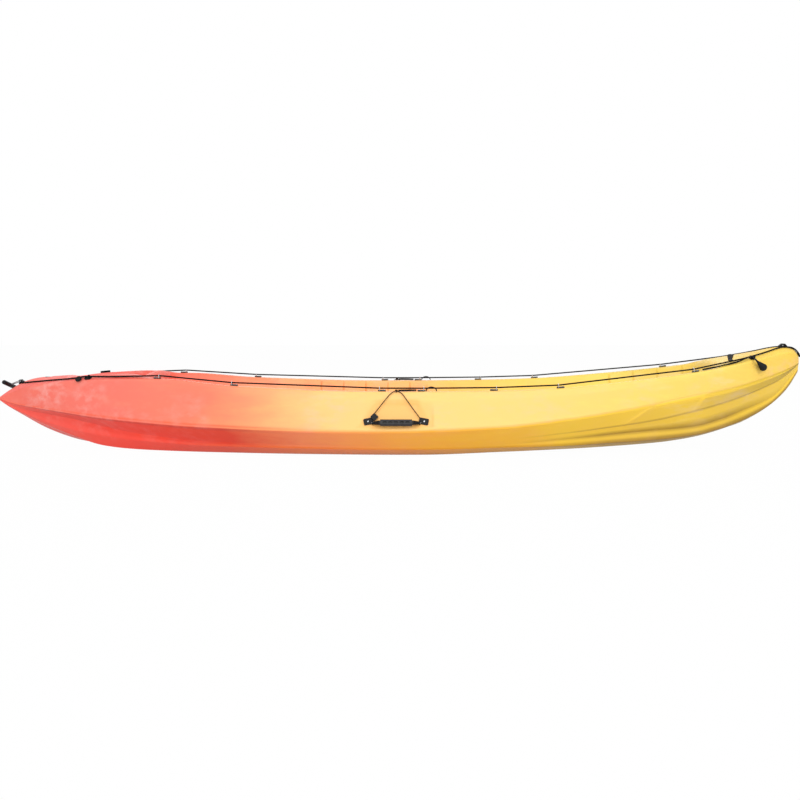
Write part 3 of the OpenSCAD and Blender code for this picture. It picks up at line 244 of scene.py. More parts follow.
def half_section(x):
    """Half section of the hull at x: keel, bottom, topsides, gunwale, well wall and floor."""
    keel_z = along(KEEL_LINE, x)
    chine_y, chine_z = along(CHINE_HALF, x), along(CHINE_LINE, x)
    bilge_y, bilge_z = chine_y * along(BILGE_SHARE, x), along(BILGE_LINE, x)
    strip_y, strip_z = bilge_y * along(STRIP_FLARE, x), mix(keel_z, bilge_z, along(STRIP_SHARE, x))
    gun_y, gun_z = along(GUNWALE_HALF, x), along(GUNWALE_LINE, x)
    fade = min(1, gun_y / FADE_WIDTH)
    vee = along(DEADRISE, x) * (strip_z - keel_z)
    groove = BOTTOM_GROOVE * (1 - along(DEADRISE, x)) * fade
    swell, knuckle = along(KNUCKLE_SWELL, x), along(KNUCKLE_SHARE, x)
    crown = along(CROWN_LINE, x)
    down, floor_z = straight(WELLS, x, 2), straight(WELLS, x, 1)
    step = STEP_DEPTH * footrest_share(x)
    rim = RIM_WIDTH * fade
    rim_y = gun_y - rim + RIM_INNER * fade
    well_y = min(gun_y - rim, TANK_HALF_WIDTH if x < TANK_FRONT else gun_y) - step * STEP_TOP_SHARE
    floor_limit = min(well_y - WALL_LEAN, bilge_y - BILGE_COVER)
    floor_y = max(LEAST_FLOOR, floor_limit - step * (1 - STEP_TOP_SHARE))
    ledge = straight(SEATS, x) * down
    seat_y = min(SEAT_HALF_WIDTH, well_y - LEAST_LEDGE)
    hip_y = mix(mix(floor_y, well_y, HIP_SHARES[0]), seat_y, ledge)
    hip_z = mix(mix(floor_z, gun_z, HIP_SHARES[1]), LEDGE_HEIGHT, ledge)
    corner_y = mix(mix(floor_y, well_y, FLOOR_CORNER[0]), hip_y - SEAT_CORNER, ledge)
    low, high = recessed(RECESS_LOW, x), recessed(RECESS_HIGH, x)

    def bottom(share, depth):
        return (strip_y * share, keel_z + vee * share + groove * depth)

    def deck(y):
        return gun_z + crown * (1 - (y / gun_y) ** 2)

    def edge(y):
        return deck(y) if x < TANK_FRONT else gun_z

    def wall(k, y, z):
        deck_y = well_y * DECK_SHARES[k]
        return (mix(deck_y, y, down), mix(deck(deck_y), z, down))

    return [
        bottom(0, 0),
        bottom(GROOVE_SHARES[0], 0),
        bottom(GROOVE_SHARES[1], 1),
        bottom(GROOVE_SHARES[2], 1),
        bottom(GROOVE_SHARES[3], 0),
        bottom(RUNNER_SHARE, 0),
        (strip_y, strip_z),
        (bilge_y, bilge_z),
        (mix(bilge_y, chine_y, knuckle) + swell, mix(bilge_z, chine_z, knuckle)),
        (mix(bilge_y, chine_y, CHINE_UNDER[0]), mix(bilge_z, chine_z, CHINE_UNDER[1])),
        side_point(x, *CHINE_OVER),
        panel_point(side_point(x, *PANEL_FOOT), PANEL_LOW[1], low),
        panel_point(side_point(x, PANEL_MIDDLE, PANEL_MIDDLE), mix(PANEL_LOW[1], PANEL_HIGH[1], 0.5), low),
        panel_point(side_point(x, PANEL_HEAD, PANEL_HEAD), PANEL_HIGH[1], high),
        side_point(x, PANEL_TOP, PANEL_TOP),
        (mix(gun_y, chine_y, GUNWALE_TUCK), gun_z - GUNWALE_FALL * fade),
        (gun_y - GUNWALE_ROUND[0] * fade, gun_z - GUNWALE_ROUND[1] * fade),
        (gun_y - RIM_OUTER * fade, gun_z),
        (rim_y, mix(deck(rim_y), edge(rim_y), down)),
        wall(0, well_y, edge(well_y) - WALL_DROP * fade),
        wall(1, mix(hip_y, well_y, mix(HIP_ROUND, LEDGE_SHARE, ledge)), hip_z + LEDGE_ROUND * ledge),
        wall(2, mix(hip_y, floor_y, HIP_ROUND), hip_z - LEDGE_ROUND * ledge),
        wall(3, corner_y, mix(floor_z, gun_z, FLOOR_CORNER[1])),
        wall(4, mix(floor_y - RIM_OUTER * fade, hip_y - SEAT_EDGE, ledge), floor_z),
        wall(5, mix(floor_y, hip_y, ledge) / 2, floor_z - FLOOR_DISH[0]),
        (0, mix(gun_z + crown, floor_z - FLOOR_DISH[1], down)),
    ]


# Points of a half section where the hull's surfaces begin and end
RUNNER_POINT = 5
BILGE_POINTS = (6, 7)
KNUCKLE_POINT = 8
CHINE_POINT = 10
RIM_POINT = 17
# Stations of the hull skin: those close to each tip, the even row, and the least gap beside another station
TIP_STATIONS = (1842, 1855, 1865, 1871, 1874, HALF_LENGTH)
STATION_ROW = range(-1820, 1821, 28)
STATION_GAP = 12
STEP_EDGE = 7
STEP_START = 0.01


def hull_stations():
    """Places along the hull: each well, step, seat and recess edge, and a close even row between them."""
    fixed = [w[0] for w in WELLS] + [s[0] for s in SEATS] + list(RECESS_LOW) + list(RECESS_HIGH)
    fixed += [way * x for way in (-1, 1) for x in TIP_STATIONS]
    for first, count in FOOTRESTS:
        for k in range(count):
            face = first + k * STEP_PITCH
            fixed += [face - STEP_FACE - STEP_EDGE, face - STEP_FACE, face + STEP_START, face + STEP_EDGE]
    return sorted(set(fixed + [x for x in STATION_ROW if min(abs(x - f) for f in fixed) > STATION_GAP]))


def mesh_piece(name, points, faces, material):
    """A smooth mesh object from points in millimetres."""
    mesh = bpy.data.meshes.new(name)
    mesh.from_pydata([(x * MM, y * MM, z * MM) for x, y, z in points], [], faces)
    mesh.validate()
    mesh.polygons.foreach_set("use_smooth", [True] * len(mesh.polygons))
    mesh.materials.append(material)
    return new_object(name, mesh)


def ring_faces(rings, sides, closed=False):
    """Faces between rings of points that follow each other, or that come round to the first."""
    faces = []
    for i in range(rings if closed else rings - 1):
        row, next_row = i * sides, (i + 1) % rings * sides
        for k in range(sides):
            after = (k + 1) % sides
            faces.append((row + k, row + after, next_row + after, next_row + k))
    return faces


def end_faces(rings, sides):
    """Flat faces that close the first and the last ring."""
    last = (rings - 1) * sides
    return [tuple(range(sides - 1, -1, -1)), tuple(range(last, last + sides))]


def tip_faces(rings, sides):
    """Faces from the first and the last ring to two tips, which come after all the rings."""
    tip, last, faces = rings * sides, (rings - 1) * sides, []
    for k in range(sides):
        after = (k + 1) % sides
        faces += [(tip, after, k), (tip + 1, last + k, last + after)]
    return faces


def circle(sides):
    """Directions round a circle, as pairs."""
    turns = [2 * pi * k / sides for k in range(sides)]
    return [(cos(turn), sin(turn)) for turn in turns]


def apply_modifiers(piece):
    """Replaces a piece's mesh by what its modifiers make of it."""
    graph = bpy.context.evaluated_depsgraph_get()
    made = bpy.data.meshes.new_from_object(piece.evaluated_get(graph))
    piece.modifiers.clear()
    piece.data = made


# Tips that close the hull skin: heights at stern and bow, and the section point they are painted as
TIP_HEIGHTS = (220, 386)
TIP_GIRTH = 12
CRISP_POINTS = (RUNNER_POINT, *BILGE_POINTS, KNUCKLE_POINT, CHINE_POINT - 1)
# How sharp the edge line along a section point is
CREASES = {0: 0.95, RUNNER_POINT: 0.93, BILGE_POINTS[0]: 0.95, BILGE_POINTS[1]: 0.95, KNUCKLE_POINT: 0.8,
           CHINE_POINT - 1: 0.6, CHINE_POINT: 0.6}


def hull_skin(material):
    """Hull surface through close sections, rounded by subdivision, with soft creases along its lines."""
    stations = hull_stations()
    half_count = len(half_section(0))
    last = half_count - 1
    order = list(range(half_count)) + list(range(last - 1, 0, -1))
    ring = len(order)
    points = []
    for x in stations:
        half = half_section(x)
        for k, point in enumerate(order):
            side = -1 if k < half_count else 1
            points.append((x, side * half[point][0], half[point][1]))
    tips = len(points)
    points += [(way * HALF_LENGTH, 0, height) for way, height in zip((-1, 1), TIP_HEIGHTS)]
    faces = ring_faces(len(stations), ring) + tip_faces(len(stations), ring)
    piece = mesh_piece("hull_skin", points, faces, material)
    girths = piece.data.attributes.new("girth", "FLOAT", "POINT")
    girths.data.foreach_set("value", [order[i % ring] for i in range(tips)] + [TIP_GIRTH, TIP_GIRTH])
    sharpness = piece.data.attributes.new("crease_edge", "FLOAT", "EDGE")
    crisp = piece.data.attributes.new("sharp_edge", "BOOLEAN", "EDGE")
    for edge in piece.data.edges:
        a, b = edge.vertices
        if max(a, b) < tips and a % ring == b % ring:
            sharpness.data[edge.index].value = CREASES.get(order[a % ring], 0)
            crisp.data[edge.index].value = order[a % ring] in CRISP_POINTS
    rounding = piece.modifiers.new("rounding", "SUBSURF")
    rounding.levels = rounding.render_levels = 2
    apply_modifiers(piece)
    return piece


# Colours, written as they look on screen
def colour(red, green, blue):
    def linear(c):
        c /= 255
        return c / 12.92 if c <= 0.04045 else ((c + 0.055) / 1.055) ** 2.4
    return (linear(red), linear(green), linear(blue), 1.0)


WHITE = (1.0, 1.0, 1.0, 1.0)


class Nodes:
    """The node tree of a material or the world, with short calls for the nodes used here."""

    def __init__(self, name, kind="materials"):
        self.block = getattr(bpy.data, kind).new(name)
        self.block.use_nodes = True
        self.tree = self.block.node_tree
        self.shader = self.tree.nodes.get("Principled BSDF")

    def add(self, kind, inputs=None, **settings):
        node = self.tree.nodes.new(kind)
        for key, value in settings.items():
            setattr(node, key, value)
        self.fill(node, inputs or {})
        return node

    def fill(self, node, inputs):
        """Links or sets a node's inputs; what is None stays as it was."""
        for key, value in inputs.items():
            if isinstance(value, bpy.types.NodeSocket):
                self.tree.links.new(value, node.inputs[key])
            elif value is not None:
                node.inputs[key].default_value = value

    def finish(self, paint, rough, normal=None, specular=0.5, metallic=0.0):
        """Fills the material's own shader and gives the material."""
        self.fill(self.shader, {"Base Color": paint, "Roughness": rough, "Normal": normal,
                                "Specular IOR Level": specular, "Metallic": metallic})
        return self.block

    def value(self, name):
        """A number kept on the mesh under that name."""
        return self.add("ShaderNodeAttribute", attribute_name=name).outputs["Fac"]

    def math(self, operation, a, b=0.0, c=0.0):
        return self.add("ShaderNodeMath", {0: a, 1: b, 2: c}, operation=operation).outputs[0]

    def times(self, a, b):
        return self.math("MULTIPLY", a, b)

    def place(self, scale=(1, 1, 1)):
        """Place on the object in metres, stretched by scale."""
        coordinate = self.add("ShaderNodeTexCoord").outputs["Object"]
        return self.add("ShaderNodeMapping", {"Vector": coordinate, "Scale": scale}).outputs[0]

    def noise(self, scale, detail=3.0, roughness=0.5, stretch=(1, 1, 1)):
        inputs = {"Vector": self.place(stretch), "Scale": scale, "Detail": detail, "Roughness": roughness}
        return self.add("ShaderNodeTexNoise", inputs).outputs["Fac"]

    def rescale(self, value, from_low, from_high, to_low=0.0, to_high=1.0):
        inputs = {0: value, 1: from_low, 2: from_high, 3: to_low, 4: to_high}
        return self.add("ShaderNodeMapRange", inputs).outputs[0]

    def ramp(self, value, stops):
        node = self.add("ShaderNodeValToRGB", {"Fac": value})
        elements = node.color_ramp.elements
        while len(elements) < len(stops):
            elements.new(0.5)
        for element, (position, paint) in zip(elements, stops):
            element.position = position
            element.color = paint
        return node.outputs["Color"]

    def blend(self, share, a, b, mode="MIX"):
        inputs = {0: share, 6: a, 7: b}
        return self.add("ShaderNodeMix", inputs, data_type="RGBA", blend_type=mode).outputs[2]

    def bump(self, height, strength, distance, normal=None):
        inputs = {"Height": height, "Strength": strength, "Distance": distance, "Normal": normal}
        return self.add("ShaderNodeBump", inputs).outputs[0]


# Hull paint: place along the hull in metres, and the colour there. The side band is painted paler, as painted
# light, and the keel band darker towards the bow, as painted shade
SIDE_COLOURS = [
    (-1.87, (246, 114, 98)), (-1.3, (248, 122, 106)), (-0.85, (249, 128, 100)), (-0.55, (250, 160, 104)),
    (-0.3, (250, 192, 114)), (0.1, (248, 195, 113)), (0.5, (247, 197, 108)), (0.8, (246, 198, 103)),
    (1.05, (246, 201, 98)), (1.4, (246, 205, 100)), (1.87, (248, 204, 80))]
BOTTOM_COLOURS = [
    (-1.87, (246, 96, 84)), (-1.2, (240, 64, 48)), (-0.75, (228, 66, 40)), (-0.45, (246, 140, 90)),
    (-0.25, (252, 158, 82)), (0, (252, 174, 68)), (0.35, (244, 180, 54)), (0.8, (244, 200, 62)),
    (1.3, (248, 206, 66)), (1.87, (252, 210, 66))]
KEEL_COLOURS = [
    (-1.87, (250, 96, 84)), (-1.2, (250, 78, 62)), (-0.75, (244, 90, 56)), (-0.3, (250, 142, 60)),
    (0.3, (240, 168, 34)), (0.8, (206, 163, 42)), (1.25, (176, 140, 38)), (1.87, (178, 146, 54))]
DECK_COLOURS = [
    (-1.87, (252, 120, 110)), (-1.5, (252, 122, 114)), (-1.25, (222, 90, 76)), (-1.1, (236, 98, 78)),
    (-0.8, (244, 136, 102)), (-0.6, (250, 168, 116)), (-0.35, (248, 168, 108)), (0.1, (248, 190, 106)),
    (0.5, (246, 194, 92)), (0.95, (238, 212, 96)), (1.3, (224, 194, 84)), (1.87, (246, 204, 86))]
# Bands above the keel's colours: the section point that each starts at
PAINT_BANDS = [(BILGE_POINTS[1], BOTTOM_COLOURS), (CHINE_POINT, SIDE_COLOURS), (RIM_POINT, DECK_COLOURS)]
PAINT_REACH = 2.0
# Stretches of the hull in metres, from none, to full, full again, none: scuffs, streaks, red flush, painted
# shade and highlight lines
SCUFFED = (-1.8, -1.65, -1.35, -1.1)
STREAKED = (1.0, 1.3, 1.6, 1.8)
FLUSHED = (-0.85, -0.65, 0.05, 0.2)
LINES_AT_STERN = (-1.87, -1.8, -0.7, -0.3)
LINES_AT_BOW = (0.5, 0.9, 1.8, 1.86)
BILGE_AT_BOW = (0.5, 0.9, 1.5, 1.86)
# Painted shade along creases of the hull, and a painted highlight just over the chine at the stern: section
# point, width, stretch of the hull, colour and strength
PAINTED_LIGHT_LINES = [
    (CHINE_POINT - 0.8, 0.4, LINES_AT_STERN, (150, 62, 54), 0.6),
    (CHINE_POINT + 0.2, 0.5, LINES_AT_STERN, (250, 96, 58), 0.7),
    (KNUCKLE_POINT, 0.12, LINES_AT_BOW, (150, 112, 40), 0.6),
    (BILGE_POINTS[1], 0.5, BILGE_AT_BOW, (128, 94, 26), 0.75),
    (BILGE_POINTS[0], 0.35, LINES_AT_BOW, (122, 88, 34), 0.7)]
# Slanting steps that start the hollows above the bow knuckle: place and slant per section point
FACETS = [(0.967, 0.111), (1.3, 0.045)]
FACET_RUN = 0.026
FACET_DEPTH = 0.0078
FACET_POINTS = (KNUCKLE_POINT, KNUCKLE_POINT + 0.8, CHINE_POINT - 1, CHINE_POINT - 0.3)
# Painted shade in the recess behind a side handle: half width at its foot, narrowing per section point, soft
# edge
HOLLOW_HALF = 0.158
HOLLOW_TAPER = 0.03
HOLLOW_EDGE = 0.008
HOLLOW_FOOT = 11
HOLLOW_POINTS = (10.4, 10.8, 13.1, 13.4)
RECESS_SHADE_COLOUR = (240, 172, 82)
RECESS_SHADE_STRENGTH = 0.4
# How far the colours wander along the hull in metres, and how far below its first point a band fades in
COLOUR_WANDER = 0.7
BAND_FADE = (0.7, 0.3)
# Marks on the paint: colours, and how strong they are at most
FLUSH_COLOUR = (242, 136, 92)
FLUSH_STRENGTH = 0.55
MARBLE_COLOUR = (255, 236, 206)
MARBLE_STRENGTH = 0.3
SCUFF_COLOUR = (252, 190, 182)
STREAK_COLOUR = (250, 218, 176)
STREAK_STRENGTH = 0.4


def hull_ramp(nodes, place, colours):
    share = nodes.rescale(place, -PAINT_REACH, PAINT_REACH)
    stops = [((x + PAINT_REACH) / (2 * PAINT_REACH), colour(*paint)) for x, paint in colours]
    return nodes.ramp(share, stops)


def reach(nodes, value, edges):
    """1 within a stretch along or around the hull, fading to 0 at its ends."""
    rise = nodes.rescale(value, edges[0], edges[1])
    fall = nodes.rescale(value, edges[3], edges[2])
    return nodes.times(rise, fall)


def above(nodes, girth, point, most=1):
    """0 below a section point, and most from just under it."""
    return nodes.rescale(girth, point - BAND_FADE[0], point - BAND_FADE[1], 0, most)


def line_at(nodes, girth, middle, width):
    """1 on a line along the hull at a section point, fading to 0 beside it."""
    away = nodes.math("ABSOLUTE", nodes.math("SUBTRACT", girth, middle))
    return nodes.rescale(away, width, 0)


def bow_facets(nodes, girth, place):
    """Height of the hollows above the bow knuckle, which start at slanting steps."""
    past_knuckle = nodes.math("SUBTRACT", girth, KNUCKLE_POINT)
    height = 0.0
    for first, slant in FACETS:
        along_step = nodes.math("MULTIPLY_ADD", past_knuckle, -slant, place)
        height = nodes.math("ADD", height, nodes.rescale(along_step, first, first + FACET_RUN))
    return nodes.times(height, reach(nodes, girth, FACET_POINTS))


def handle_hollow(nodes, girth, place):
    """1 in the recess behind a side handle, fading to 0 at its edges."""
    aside = nodes.math("ABSOLUTE", nodes.math("SUBTRACT", place, HANDLE_X * MM))
    beyond = nodes.math("MULTIPLY_ADD", nodes.math("SUBTRACT", girth, HOLLOW_FOOT), HOLLOW_TAPER, aside)
    within = nodes.rescale(beyond, HOLLOW_HALF + HOLLOW_EDGE, HOLLOW_HALF - HOLLOW_EDGE)
    return nodes.times(within, reach(nodes, girth, HOLLOW_POINTS))


def hull_plastic():
    """Moulded polyethylene in colours that run into each other, marbled, scuffed and slightly wavy, with
    painted light and shade on its bands, along its creases and in the handle recess.
    """
    nodes = Nodes("hull_plastic")
    girth = nodes.value("girth")
    place = nodes.add("ShaderNodeSeparateXYZ", {0: nodes.place()}).outputs["X"]
    swirl = nodes.noise(1.6, 5.0, 0.6, stretch=(0.9, 2.4, 3.2))
    wander = nodes.math("MULTIPLY_ADD", swirl, COLOUR_WANDER, -COLOUR_WANDER / 2)
    run = nodes.math("ADD", place, wander)
    # Keel colours, then bands over them: the side band's paler paint is painted light, the keel's darker
    # paint near the bow painted shade
    paint = hull_ramp(nodes, run, KEEL_COLOURS)
    for first, colours in PAINT_BANDS:
        paint = nodes.blend(above(nodes, girth, first), paint, hull_ramp(nodes, run, colours))
    flush = nodes.noise(2.4, 4.0, 0.55, stretch=(3, 3, 5))
    flushed = nodes.times(nodes.rescale(flush, 0.47, 0.6), reach(nodes, place, FLUSHED))
    on_deck = above(nodes, girth, RIM_POINT, FLUSH_STRENGTH)
    paint = nodes.blend(nodes.times(flushed, on_deck), paint, colour(*FLUSH_COLOUR))
    # Painted shade along the creases, and a painted highlight over the stern chine
    for middle, width, stretch, shade, strength in PAINTED_LIGHT_LINES:
        share = nodes.times(line_at(nodes, girth, middle, width), reach(nodes, place, stretch))
        paint = nodes.blend(nodes.times(share, strength), paint, colour(*shade))
    # Painted shade in the handle's recess
    hollow = nodes.times(handle_hollow(nodes, girth, place), RECESS_SHADE_STRENGTH)
    paint = nodes.blend(hollow, paint, colour(*RECESS_SHADE_COLOUR))
    marble = nodes.noise(3.5, 6.0, 0.62, stretch=(1.2, 4, 6))
    marbled = nodes.rescale(marble, 0.52, 0.78, 0, MARBLE_STRENGTH)
    paint = nodes.blend(marbled, paint, colour(*MARBLE_COLOUR), "SOFT_LIGHT")
    scratches = nodes.noise(5, 4.0, 0.58, stretch=(3, 9, 6))
    patches = nodes.noise(4.5, 3.0)
    scuffed = nodes.times(nodes.rescale(scratches, 0.42, 0.74), nodes.rescale(patches, 0.44, 0.68))
    scuff_share = nodes.math("MULTIPLY_ADD", reach(nodes, place, SCUFFED), 0.4, 0.3)
    on_side = nodes.rescale(girth, CHINE_POINT - 1, CHINE_POINT, 0.35, 1)
    scuff_share = nodes.times(scuffed, nodes.times(scuff_share, on_side))
    paint = nodes.blend(scuff_share, paint, colour(*SCUFF_COLOUR))
    streaks = nodes.noise(3.2, 6.0, 0.6, stretch=(0.8, 5, 7))
    streaked = nodes.times(nodes.rescale(streaks, 0.5, 0.7), reach(nodes, place, STREAKED))
    streak_share = nodes.rescale(girth, BILGE_POINTS[1], KNUCKLE_POINT, 0.05, STREAK_STRENGTH)
    paint = nodes.blend(nodes.times(streaked, streak_share), paint, colour(*STREAK_COLOUR))
    peel = nodes.noise(320, 2.0)
    waves = nodes.noise(7, 2.0)
    rough = nodes.math("ADD", nodes.rescale(marble, 0, 1, 0.34, 0.46), nodes.times(scuffed, 0.2))
    normal = nodes.bump(bow_facets(nodes, girth, place), 1.0, FACET_DEPTH)
    normal = nodes.bump(waves, 0.25, 0.004, normal)
    normal = nodes.bump(peel, 0.12, 0.0006, normal)
    return nodes.finish(paint, rough, normal, 0.35)


# Finishes of the fittings
def wave(nodes, value, count, other=0.0):
    """A sine of count turns per unit of value, shifted by other in turns."""
    turns = nodes.math("MULTIPLY_ADD", value, count, other)
    return nodes.math("SINE", nodes.times(turns, 2 * pi))


def braid(nodes, strands, pitch):
    """Height of a braid's diamonds on a cord, from 0 to 1."""
    slide = nodes.math("DIVIDE", nodes.value("along"), pitch)
    round_turns = nodes.times(nodes.value("around"), strands)
    left = wave(nodes, round_turns, 1.0, slide)
    right = wave(nodes, round_turns, 1.0, nodes.times(slide, -1.0))
    return nodes.rescale(nodes.times(left, right), -1, 1)


def cord_finish(name, dark, light, strands, pitch, fleck=None):
    """Braided cord: diamonds lighter on their crowns in patches and darker between the strands, as painted
    shade, with an optional coloured fleck.
    """
    nodes = Nodes(name)
    height = braid(nodes, strands, pitch)
    patch_noise = nodes.noise(90, 4.0)
    # Painted shade between the braid's strands
    share = nodes.times(height, nodes.rescale(patch_noise, 0.35, 0.7, 0.35, 1.0))
    paint = nodes.blend(share, colour(*dark), colour(*light))
    if fleck:
        spiral = wave(nodes, nodes.value("along"), 1 / (4 * pitch), nodes.value("around"))
        paint = nodes.blend(nodes.rescale(spiral, 0.86, 0.96), paint, colour(*fleck))
    rough = nodes.rescale(patch_noise, 0, 1, 0.62, 0.9)
    return nodes.finish(paint, rough, nodes.bump(height, 0.8, 0.0005), 0.15)


def spark_grain(nodes):
    """The fine grain that a spark-cut mould leaves."""
    return nodes.bump(nodes.noise(1400, 3.0), 0.35, 0.0002)


def moulding(name, dark, light):
    """Injection-moulded plastic: fine spark grain, faint flow marks and dusty scuffs."""
    nodes = Nodes(name)
    flow = nodes.noise(26, 4.0, stretch=(1, 3, 2))
    dust = nodes.noise(160, 5.0, 0.7)
    paint = nodes.blend(nodes.rescale(flow, 0.3, 0.75), colour(*dark), colour(*light))
    paint = nodes.blend(nodes.rescale(dust, 0.6, 0.82, 0, 0.25), paint, colour(82, 80, 78))
    rough = nodes.rescale(flow, 0, 1, 0.36, 0.56)
    return nodes.finish(paint, rough, spark_grain(nodes), 0.2)


def grip_moulding():
    """The grip's plastic: painted shade in its slots where ambient occlusion finds them, and lighter on its
    ribs in patches.
    """
    nodes = Nodes("grip_moulding")
    rub = nodes.noise(60, 4.0, stretch=(1, 3, 2))
    # Ambient occlusion paints shade into the slots
    open_share = nodes.add("ShaderNodeAmbientOcclusion", {"Distance": 0.008}, samples=8).outputs["AO"]
    raised = nodes.rescale(open_share, 0.55, 0.95)
    rib_light_share = nodes.times(raised, nodes.rescale(rub, 0.2, 0.6))
    paint = nodes.blend(rib_light_share, colour(4, 4, 5), colour(42, 42, 45))
    rough = nodes.rescale(rub, 0, 1, 0.34, 0.5)
    return nodes.finish(paint, rough, spark_grain(nodes), 0.3)


def stainless():
    """Drawn stainless steel: bright, with fine lengthwise lines and a little haze."""
    nodes = Nodes("stainless")
    lines = nodes.noise(420, 3.0, stretch=(1, 14, 14))
    haze = nodes.noise(70, 3.0)
    paint = nodes.blend(haze, colour(196, 198, 202), colour(228, 229, 232))
    rough = nodes.rescale(lines, 0.2, 0.8, 0.14, 0.32)
    return nodes.finish(paint, rough, nodes.bump(lines, 0.15, 0.0001), metallic=1.0)


def rubber():
    """Matt black rubber with a fine grain."""
    nodes = Nodes("rubber")
    grain = nodes.noise(600, 4.0)
    paint = nodes.blend(grain, colour(30, 30, 31), colour(58, 57, 56))
    rough = nodes.rescale(grain, 0, 1, 0.7, 0.95)
    return nodes.finish(paint, rough, nodes.bump(grain, 0.4, 0.0003))


RIB_PITCH = 0.0042
THREAD_PITCH = 0.0026


def strap_webbing():
    """Black webbing: ribs along it, crossed by close weft threads, painted darker between the threads as
    painted shade.
    """
    nodes = Nodes("webbing")
    spot = nodes.add("ShaderNodeSeparateXYZ", {0: nodes.place()}).outputs
    ribs = wave(nodes, spot["X"], 1 / RIB_PITCH)
    threads = wave(nodes, spot["Y"], 1 / THREAD_PITCH)
    weave = nodes.rescale(nodes.times(ribs, threads), -1, 1)
    fuzz = nodes.noise(240, 4.0)
    # Painted shade between the weave's threads
    paint = nodes.blend(nodes.times(weave, fuzz), colour(12, 12, 14), colour(52, 52, 56))
    rough = nodes.rescale(fuzz, 0, 1, 0.65, 0.9)
    return nodes.finish(paint, rough, nodes.bump(weave, 0.7, 0.0005), 0.15)


# CAD nodes that keep their solid, by the finish that they take; a name may stand for both sides
BASES = ["guide_bases"]
MOULDED = [
    "handle_feet", "handle_straps", "paddle_knob", "paddle_hook", "stern_fairlead", "stern_toggle",
    "stern_hook", "stern_knob", "stern_bracket", "bow_fairlead", "bow_strap_anchors", "bow_toggle_anchor",
    "bow_toggle", "drain_socket", "drain_plug"]
METAL = ["guide_loops", "handle_pins", "stern_pin", "bow_pin"]
SEALS = ["drain_gasket"]
GRIPS = ["handle_grip"]
EDGE_ROUNDING = 0.0007
EDGE_ANGLE = radians(35)
WELD_GAP = 0.00001


def finish_nodes(names, material):
    """Gives solids their material, and edges that are slightly rounded as moulded ones are."""
    whole_names = [name + end for name in names for end in ("", "_starboard", "_port")]
    for piece in [NODES[name] for name in whole_names if name in NODES]:
        piece.data.materials.clear()
        piece.data.materials.append(material)
        weld = piece.modifiers.new("weld", "WELD")
        weld.merge_threshold = WELD_GAP
        edges = piece.modifiers.new("edges", "BEVEL")
        edges.width = EDGE_ROUNDING
        edges.segments = 2
        edges.limit_method = "ANGLE"
        edges.angle_limit = EDGE_ANGLE
        edges.harden_normals = True


# Scupper holes and the drain's well, let into the hull skin
SCUPPERS = [(-1320, 44), (-930, 120), (-110, 170), (380, 120), (1000, 110)]
SCUPPER_RADIUS = 15
SCUPPER_FLARE = 7
FLARE_ROUND = 2
SCUPPER_PAST = 12
DRAIN_X = -1640
DRAIN_RADIUS = 22
DRAIN_DEPTH = 17
DRAIN_BEVEL = 4
DRAIN_PAST = 8
HOLE_SIDES = 48


def keel_height(x, y):
    """Height of the bottom at x, y off the middle line."""
    return straight(half_section(x)[:RUNNER_POINT + 1], abs(y))


def hole_cutter(x, y, profile, material):
    """A cutter turned round an upright axis at x, y."""
    cutter = turned("hole_cutter", profile, HOLE_SIDES, material)
    cutter.data.transform(Matrix.Translation((x * MM, y * MM, 0)))
    return cutter


def scupper_profile(x, y):
    """A tube through the hull that flares into the floor above and the bottom below."""
    wide, bend = SCUPPER_RADIUS + SCUPPER_FLARE, SCUPPER_RADIUS + FLARE_ROUND
    high, low = deck_z(x, y), keel_height(x, y)
    upper = [(0, SCUPPER_PAST), (wide, SCUPPER_PAST), (wide, 0), (bend, -SCUPPER_FLARE / 2),
             (SCUPPER_RADIUS, -SCUPPER_FLARE)]
    return [(r, high + z) for r, z in upper] + [(r, low - z) for r, z in reversed(upper)]


def drain_profile():
    wide, high = DRAIN_RADIUS + DRAIN_BEVEL, deck_z(DRAIN_X, 0)
    steps = [(0, DRAIN_PAST), (wide, DRAIN_PAST), (wide, 1), (DRAIN_RADIUS, -DRAIN_BEVEL),
             (DRAIN_RADIUS, -DRAIN_DEPTH), (0, -DRAIN_DEPTH)]
    return [(r, high + z) for r, z in steps]


def pierce_hull(hull, material):
    places = [(x, way * y) for x, y in SCUPPERS for way in (-1, 1)]
    cutters = [hole_cutter(x, y, scupper_profile(x, y), material) for x, y in places]
    cutters.append(hole_cutter(DRAIN_X, 0, drain_profile(), material))
    cut_out(hull, joined("hull_cutters", cutters))


# Places on the deck, in millimetres
SEAT_GAP = 0.3
PROBE = 8
GUIDE_SHARE = 0.45


def deck_z(x, y):
    """Height of the hull's upper side at x, y off the middle line."""
    return straight(half_section(x)[:RIM_POINT - 1:-1], abs(y))


def lean(height, at):
    """Angle of a curve at a place."""
    return atan2(height(at + PROBE) - height(at - PROBE), 2 * PROBE)


def deck_frame(x, y, yaw=0):
    """Frame on the deck at x and y, square to it and turned by yaw."""
    roll = lean(lambda beside: deck_z(x, beside), y)
    pitch = -lean(lambda ahead: deck_z(ahead, y), x)
    turn = Matrix.Rotation(pitch, 4, "Y") @ Matrix.Rotation(roll, 4, "X") @ Matrix.Rotation(yaw, 4, "Z")
    return Matrix.Translation((x, y, deck_z(x, y) + SEAT_GAP)) @ turn


def gunwale_y(x):
    return along(GUNWALE_HALF, x)


def guide_y(x):
    return gunwale_y(x) - RIM_WIDTH * GUIDE_SHARE


def guide_frame(x):
    """Frame of a guide on the starboard rim."""
    return deck_frame(x, -guide_y(x), -lean(guide_y, x))


